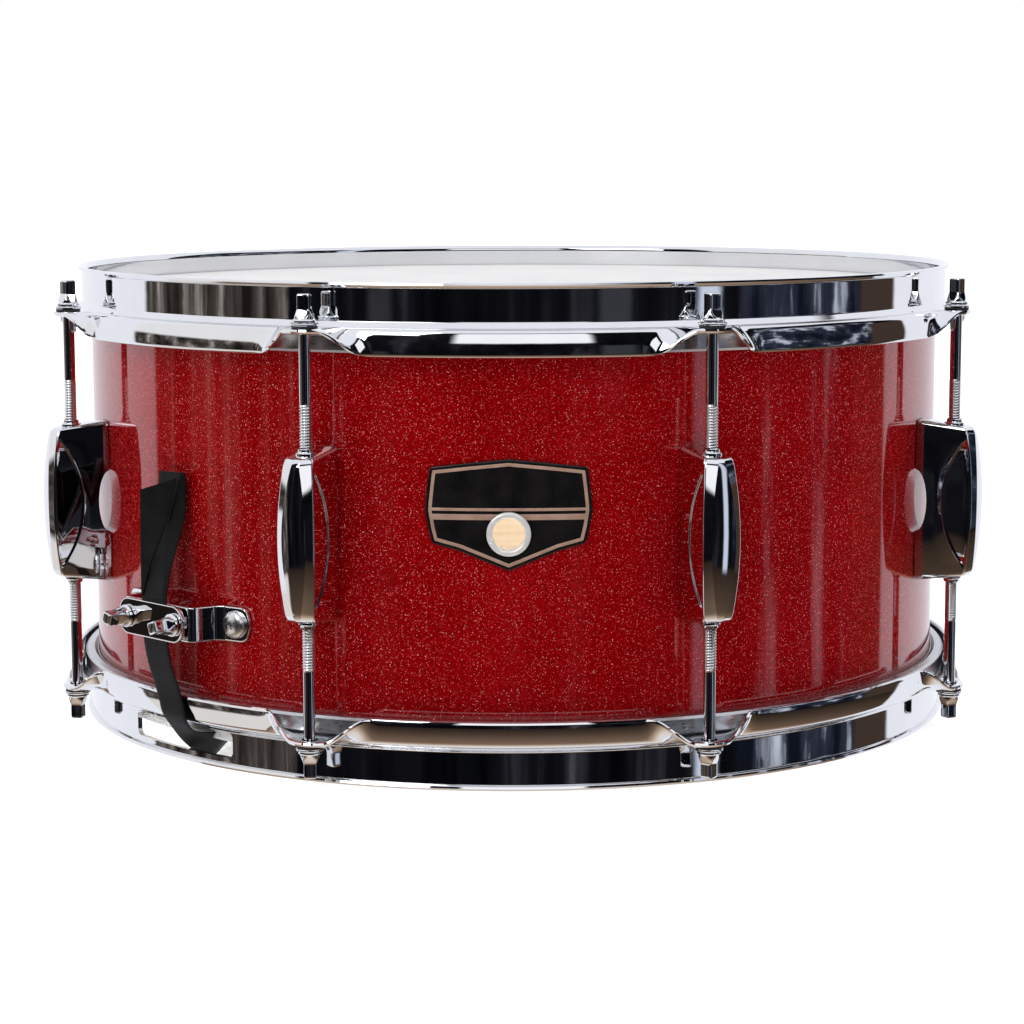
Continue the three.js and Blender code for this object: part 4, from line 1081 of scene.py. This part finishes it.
def make_butt_end():
    frame_here = local_frame(BUTT_ANGLE)
    at_clamp = local_frame(BUTT_ANGLE, 0, 0, CLAMP_Z)
    place("butt_bracket_omega", bracket_form(), CHROME, "drum", ["butt_bracket"], at_clamp, sharp=40)
    clamp = plate(rounded_outline(19.5, 7, 5.5), 0, 1.8, 0.35)
    flat = Matrix(((0, 0, 1, 0), (1, 0, 0, 0), (0, 1, 0, 0), (0, 0, 0, 1)))  # outline x, y -> local Y, Z
    place("butt_clamp_bar", clamp, CHROME, "drum", ["butt_clamp_plate"],
          local_frame(BUTT_ANGLE, BUTT_CLAMP_X, 0, CLAMP_Z) @ flat, sharp=40)
    screw = key_screw_form(9).mesh("butt_key_screw")
    bolt = round_screw_mesh("butt_round_screw", 7.5, 5.2)
    nut = capped(circles(((4.2, -3.4), (4.2, -0.4)), 6)).mesh("hex_nut")
    for side, sign, spin in (("left", -1, spun(-14)), ("right", 1, spun(20))):
        body = f"butt_clamp_screw_{side}"
        ear = BUTT_ANGLE + BUTT_EAR_TURN * sign
        place(f"{body}_key", screw, CHROME, body, [body],
              local_frame(BUTT_ANGLE, BUTT_CLAMP_X + 2.1, BUTT_SCREW_Y * sign, CLAMP_Z) @ OUTWARD @ spin, sharp=30)
        place(f"butt_bolt_{side}", bolt, ZINC, "drum", [f"butt_mount_screw_{side}"],
              local_frame(ear, 179.0, 0, CLAMP_Z) @ OUTWARD @ spin, sharp=30)
        place(f"butt_nut_{side}", nut, STEEL, "drum", (),
              local_frame(ear, SHELL_INNER, 0, CLAMP_Z) @ OUTWARD, sharp=30)
    x = BRACKET_FRONT + BRACKET_SHEET + STRAP_GAP + STRAP_THICKNESS / 2
    path = [
        (181.2, -0.2, 18.6, 0, 0.02, 0.8), (181.9, -0.9, 10.0, 0, 0, 3.0), (183.6, -1.4, 1.0, 0, 0, 4.4),
        (186.0, -1.3, -7.0, 0, 0, 3.6), (188.4, -0.8, -15.0, 0, 0, 2.0), (190.3, -0.2, -24.0, 0, 0, 0.8),
        (x, 0, -30.0, 0, 0, 0), (x, 0, -44.0, 0, 0, 0),
        (x - 1.2, 0.6, -54.0, 0, 0, 0), (187.5, 2.2, -63.0, 0, 0, 0),
        (186.7, 3.8, -69.0, 0, 0, 0), (186.5, 5.2, -74.0, 2, 0, 0), (184.4, 6.6, -78.6, 5, 0.05, 0),
        (180.6, 8.8, -82.8, 8, 0.45, 0), (176.0, 12.4, -85.4, 10, 0.98, 0), (170.0, 13.6, -86.0, 4, 1.0, 0),
        (160.0, 7.0, -85.8, 0, 0.40, 0), (150.3, 0, -84.9, 0, 0, 0),
    ]
    stations = strap_stations(path, 150, 0.3)
    strap = place("butt_ribbon", ribbon_form(stations), RIBBON, "drum", ["butt_strap"], frame_here,
                  sharp=50)
    edges = [
        (191.4, -7.2, -28.6, 191.4, -6.4, -28.6), (191.2, -7.6, -15.0, 189.5, -2.8, -15.0),
        (190.9, -7.8, -1.0, 185.4, 1.5, 0.0), (190.5, -7.9, 12.0, 183.1, 5.0, 16.6),
    ]
    fold = place("butt_ribbon_fold", ribbon_form(flap_stations(edges, 60)), RIBBON, "drum", (),
                 frame_here, sharp=50)


# ---------- Strainer ----------


def bevelled_copy(name, cad_node, material, body, width=0.5, sharp=40):
    """A CAD node's shape with its hard edges rounded over."""
    bm = bmesh.new()
    bm.from_mesh(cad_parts[cad_node].data)
    bmesh.ops.remove_doubles(bm, verts=bm.verts, dist=1e-6)
    bmesh.ops.dissolve_limit(bm, angle_limit=radians(1), verts=bm.verts, edges=bm.edges)
    edges = [e for e in bm.edges if e.is_manifold and e.calc_face_angle(0) > radians(50)]
    bmesh.ops.bevel(bm, geom=edges, offset=width * MM, segments=3, profile=0.5, affect="EDGES", clamp_overlap=True)
    bmesh.ops.recalc_face_normals(bm, faces=bm.faces)
    mesh = bpy.data.meshes.new(name)
    bm.to_mesh(mesh)
    bm.free()
    return place(name, mesh, material, body, [cad_node], Matrix(), sharp)


def make_strainer():
    for name, cad_node, body in (
        ("strainer_housing", "strainer_base", "drum"),
        ("strainer_slide", "strainer_carriage", "strainer_carriage"),
        ("strainer_clamp_bar", "strainer_clamp_plate", "strainer_carriage"),
        ("strainer_throw_lever", "strainer_lever", "strainer_lever"),
    ):
        bevelled_copy(name, cad_node, CHROME, body, 0.45)
    end = [(1.8, 16.8), (2.6, 16.9), (2.6, 17.1), (2.2, 17.4), (0, 17.4)]
    place("strainer_pivot_pin", lathe(mirrored(end) + end, 28), STEEL, "drum", ["strainer_lever_pin"],
          local_frame(STRAINER_ANGLE, *STRAINER_PIVOT) @ spun(90, "X"), sharp=30)
    screw = key_screw_form(8).mesh("strainer_key_screw")
    for side, sign in (("left", -1), ("right", 1)):
        body = f"strainer_clamp_screw_{side}"
        place(f"{body}_key", screw, CHROME, body, [body],
              local_frame(STRAINER_ANGLE, STRAINER_SCREW_SEAT, STRAINER_SCREW_Y * sign, STRAINER_CLAMP_Z) @ OUTWARD,
              sharp=30)
    rows = ((1.9, 8.2), (5.6, 8.35), (6.0, 8.7), (6.1, 9.2), (6.1, 16.4), (5.9, 17.2), (5.2, 17.8), (3.4, 18.0))
    turns = [2 * pi * i / 96 for i in range(96)]
    sections = []
    for radius, z in rows:
        grip = 0.16 if 9.0 < z < 17.0 else 0.0
        reach = [radius + grip * cos(24 * t) for t in turns]
        sections.append([(r * cos(t), r * sin(t), z) for r, t in zip(reach, turns)])
    knob = capped(sections).add(capped(threaded(-22, 8.4, 1.9, 1.6)))
    place("strainer_knob", knob, CHROME, "strainer_tension_knob", ["strainer_tension_knob"],
          local_frame(STRAINER_ANGLE, KNOB_X), sharp=35)
    bolt = round_screw_mesh("strainer_round_screw", 8.5, 4.4)
    for which, z in zip(("lower", "upper"), STRAINER_SCREW_HEIGHTS):
        place(f"strainer_bolt_{which}", bolt, STEEL, "drum", [f"strainer_mount_screw_{which}"],
              local_frame(STRAINER_ANGLE, SHELL_INNER - 0.6, 0, z) @ spun(-90, "Y"), sharp=30)
    x = 192.3 + STRAP_THICKNESS / 2
    run = [(x, -39.0), (x, -47.0), (x, -55.5), (189.5, -61.5), (187.0, -66.0), (186.5, -70.0), (186.3, -74.4),
           (184.0, -79.0), (180.2, -82.4), (175.5, -84.4), (165.0, -85.0), (150.3, -84.9)]
    stations = strap_stations([(out, 0, z, 0, 0, 0) for out, z in run], 100)
    strap = place("strainer_ribbon", ribbon_form(stations), RIBBON, "snare_wires", ["strainer_strap"],
                  local_frame(STRAINER_ANGLE), sharp=50)


# ---------- Snares ----------


def coil_form(half_length, y, radius=0.52, wire=0.2, pitch=1.7, steps=7, sides=4):
    """One snare strand: a loose coil of wire along local X."""
    sections = []
    count = int(2 * half_length / pitch * steps)
    for k in range(count + 1):
        x = -half_length + 2 * half_length * k / count
        t = 2 * pi * (x / pitch)
        centre = Vector((x, y + radius * cos(t), WIRE_LEVEL + radius * sin(t)))
        out = Vector((0, cos(t), sin(t)))
        along = Vector((pitch / (2 * pi), -radius * sin(t), radius * cos(t))).normalized()
        up = along.cross(out)
        sections.append([centre + out * a + up * b for a, b, _ in circle(wire, 0, sides)])
    return capped(sections)


def make_snares():
    strands = Form()
    for i in range(STRANDS):
        strands.add(coil_form(STRAND_HALF, (i - (STRANDS - 1) / 2) * STRAND_SPACING))
    place("snare_strands", strands, STEEL, "snare_wires", ["snare_wires"],
          local_frame(STRAINER_ANGLE), sharp=80)
    for end, angle in (("strainer", STRAINER_ANGLE), ("butt", BUTT_ANGLE)):
        bar = plate(rounded_outline(5.6, 24, 2.2), 0, END_PLATE_THICKNESS, 0.2)
        slot = Form().add(plate(rounded_outline(1.2, 8.6, 1.1), -1, 2, 0.05))
        mesh = carved(bar, f"snare_plate_{end}", [slot])
        place(f"snare_plate_{end}", mesh, STEEL, "snare_wires", [f"snare_end_plate_{end}"],
              local_frame(angle, END_PLATE_X, 0, WIRE_LEVEL - END_PLATE_THICKNESS / 2), sharp=35)


# ---------- Inside the shell ----------


def make_lug_screws():
    """Two screws with washers hold each lug from inside."""
    head = ((3.4, -1.05), (3.9, -1.3), (3.9, -2.4), (3.3, -3.2), (1.8, -3.6))
    one = washer_form(1.8, 6.0, -1.0, -0.1, 28).add(capped(circles(head, 24)))
    every = Form()
    for angle in LUG_ANGLES:
        for z in LUG_SCREW_HEIGHTS:
            every.add(one, spun(angle - 90) @ shift(SHELL_INNER, 0, z) @ OUTWARD)
    place("lug_screws", every, STEEL, "drum", (), DRUM_FRAME, sharp=35)


# ---------- Studio ----------


def make_camera():
    """A viewpoint a little above the drum, just right of the badge's own direction."""
    distance, height = 1.1183, 0.2326
    side_turn, swing, pitch, roll = (radians(angle) for angle in (0.62, 0.045, 7.88, -0.15))
    data = bpy.data.cameras.new("camera")
    data.lens = 92.63
    data.sensor_width = 36
    made = new_object("camera", data)
    look = Euler((pi / 2 - pitch, 0, side_turn + swing)).to_matrix() @ Matrix.Rotation(roll, 3, "Z")
    place_at = Vector((distance * sin(side_turn), -distance * cos(side_turn), height))
    made.matrix_world = Matrix.Translation(place_at) @ look.to_4x4()
    bpy.context.scene.camera = made


def make_floor():
    made, tree, shader, where = new_material("floor_paper", Emission_Strength=0.55)
    shader.inputs["Emission Color"].default_value = (1, 1, 1, 1)
    grain = noise_at(tree, where, 300, 3)
    wire_up(tree, shader, Base_Color=ramp(tree, grain, [(0.3, 0.93), (0.7, 0.95)]))
    shader.inputs["Roughness"].default_value = 0.9
    form = Form()
    form.cap(form.ring([(-9000, -9000, 0), (9000, -9000, 0), (9000, 9000, 0), (-9000, 9000, 0)]))
    mesh = form.mesh("floor")
    mesh.materials.append(made)
    floor = new_object("floor", mesh)
    floor.visible_glossy = False


def make_world():
    """White background, soft light all round, and for the gloss a white tent behind and over a dark room."""
    world = bpy.data.worlds.new("studio")
    bpy.context.scene.world = world
    world.use_nodes = True
    tree = world.node_tree
    tree.nodes.clear()
    toward = node(tree, "TexCoord").outputs["Generated"]
    part = node(tree, "SeparateXYZ", {"Vector": toward})
    x, y, z = part.outputs["X"], part.outputs["Y"], part.outputs["Z"]
    turn = calc(tree, "DEGREES", calc(tree, "ARCTAN2", x, calc(tree, "MULTIPLY", y, -1.0)))  # 0 at the camera
    rise = calc(tree, "DEGREES", calc(tree, "ARCSINE", z))

    def step(value, at, soft):
        inputs = {0: value, 1: at - soft, 2: at + soft}
        return node(tree, "MapRange", inputs, interpolation_type="SMOOTHSTEP").outputs[0]

    def between(value, low, high, soft):
        return calc(tree, "SUBTRACT", step(value, low, soft), step(value, high, soft))

    def patch(turns, rises, soft=1.2):
        return calc(tree, "MULTIPLY", between(turn, *turns, soft), between(rise, *rises, soft))

    def streaks(across, up, detail=4):
        x_share, y_share = calc(tree, "MULTIPLY", turn, across), calc(tree, "MULTIPLY", rise, up)
        where = node(tree, "CombineXYZ", {"X": x_share, "Y": y_share})
        return noise_at(tree, where.outputs[0], 1.0, detail, 0.6)

    room = ramp(tree, streaks(0.09, 0.02), [
        (0.40, (0.0016, 0.0018, 0.0026)), (0.56, (0.006, 0.0062, 0.0085)),
        (0.68, (0.030, 0.030, 0.037)), (0.8, (0.11, 0.11, 0.12)),
    ])
    clutter = ramp(tree, streaks(0.22, 0.07, 6), [
        (0.38, (0.012, 0.009, 0.008)), (0.50, (0.06, 0.05, 0.045)),
        (0.59, (0.20, 0.175, 0.155)), (0.69, (0.62, 0.58, 0.55)),
    ])
    windows = ramp(tree, streaks(0.12, 0.09, 5), [
        (0.42, (0.006, 0.008, 0.015)), (0.54, (0.03, 0.035, 0.055)),
        (0.60, (0.35, 0.38, 0.45)), (0.72, (0.8, 0.83, 0.92)),
    ])
    ground = ramp(tree, calc(tree, "MULTIPLY_ADD", rise, 1 / 180, 0.5), [
        (0.0, (0.86, 0.84, 0.84)), (0.15, (0.78, 0.70, 0.63)), (0.23, (0.50, 0.37, 0.27)),
        (0.30, (0.19, 0.125, 0.085)), (0.37, (0.075, 0.048, 0.033)), (0.42, (0.02, 0.014, 0.011)),
    ])
    tent = (0.90, 0.91, 0.965)
    layers = (  # each covers the ones before it; turns and rises are in degrees
        (patch((-112, -58), (-40, 24)), clutter),
        (patch((60, 104), (-14, 30)), windows),
        (patch((101, 117), (-40, 12)), (0.055, 0.036, 0.028)),
        (calc(tree, "SUBTRACT", 1.0, step(rise, -15.2, 1.0)), ground),
        (patch((-112, -60), (4, 60)), (0.88, 0.87, 0.87)),
        (patch((-112, -60), (-34, -16.5)), (0.80, 0.76, 0.72)),
        (patch((-14, 20), (10, 34)), (1.05, 1.05, 1.08)),
        (patch((48, 54), (-16, 50)), (0.62, 0.68, 0.80)),
        (patch((-36, -30), (-12, -2)), (0.03, 0.03, 0.035)),
        (patch((22, 30), (-6, 6)), (0.04, 0.042, 0.05)),
        (calc(tree, "SUBTRACT", 1.0, between(turn, -109, 116.5, 1.0)), tent),
        (step(rise, 42, 2.0), tent),
    )
    seen_in_gloss = room
    for share, colour in layers:
        seen_in_gloss = blend(tree, share, seen_in_gloss, colour)
    gloss = node(tree, "Background", {"Color": seen_in_gloss, "Strength": 1.08})
    sky = ramp(tree, calc(tree, "MULTIPLY_ADD", z, 0.5, 0.5), [(0.0, 0.6), (0.5, 0.8), (1.0, 1.4)])
    soft = node(tree, "Background", {"Color": sky, "Strength": 1.0})
    plain = node(tree, "Background", {"Color": (1, 1, 1, 1), "Strength": 1.0})
    rays = node(tree, "LightPath")
    lit = node(tree, "MixShader", {0: rays.outputs["Is Glossy Ray"], 1: soft.outputs[0], 2: gloss.outputs[0]})
    seen = node(tree, "MixShader", {0: rays.outputs["Is Camera Ray"], 1: lit.outputs[0], 2: plain.outputs[0]})
    out = node(tree, "OutputWorld")
    tree.links.new(seen.outputs[0], out.inputs["Surface"])


def make_light(name, place_at, aim, size, power, colour=(1, 1, 1), shown=True):
    data = bpy.data.lights.new(name, "AREA")
    data.shape = "RECTANGLE"
    data.size, data.size_y = size
    data.energy = power
    data.color = colour
    made = new_object(name, data)
    made.location = place_at
    made.visible_camera = shown
    made.visible_glossy = shown
    made.rotation_euler = (Vector(aim) - Vector(place_at)).to_track_quat("-Z", "Y").to_euler()


bpy.context.scene.view_settings.view_transform = "Standard"
make_camera()
make_world()
make_floor()
make_light("key_front", (-0.9, -1.3, 1.1), (0, 0, 0.09), (0.8, 0.8), 9)
make_light("light_through_head", (0, 0, 0.172), (0, 0, 0), (0.26, 0.26), 0.6, (1, 0.94, 0.88), False)

make_shell()
make_head("batter", 1, COATED)
make_head("snare_side", -1, CLEAR)
make_hoop("top_hoop", 1)
make_hoop("bottom_hoop", -1)
make_tension_hardware()
make_badge()
make_butt_end()
make_strainer()
make_snares()
make_lug_screws()
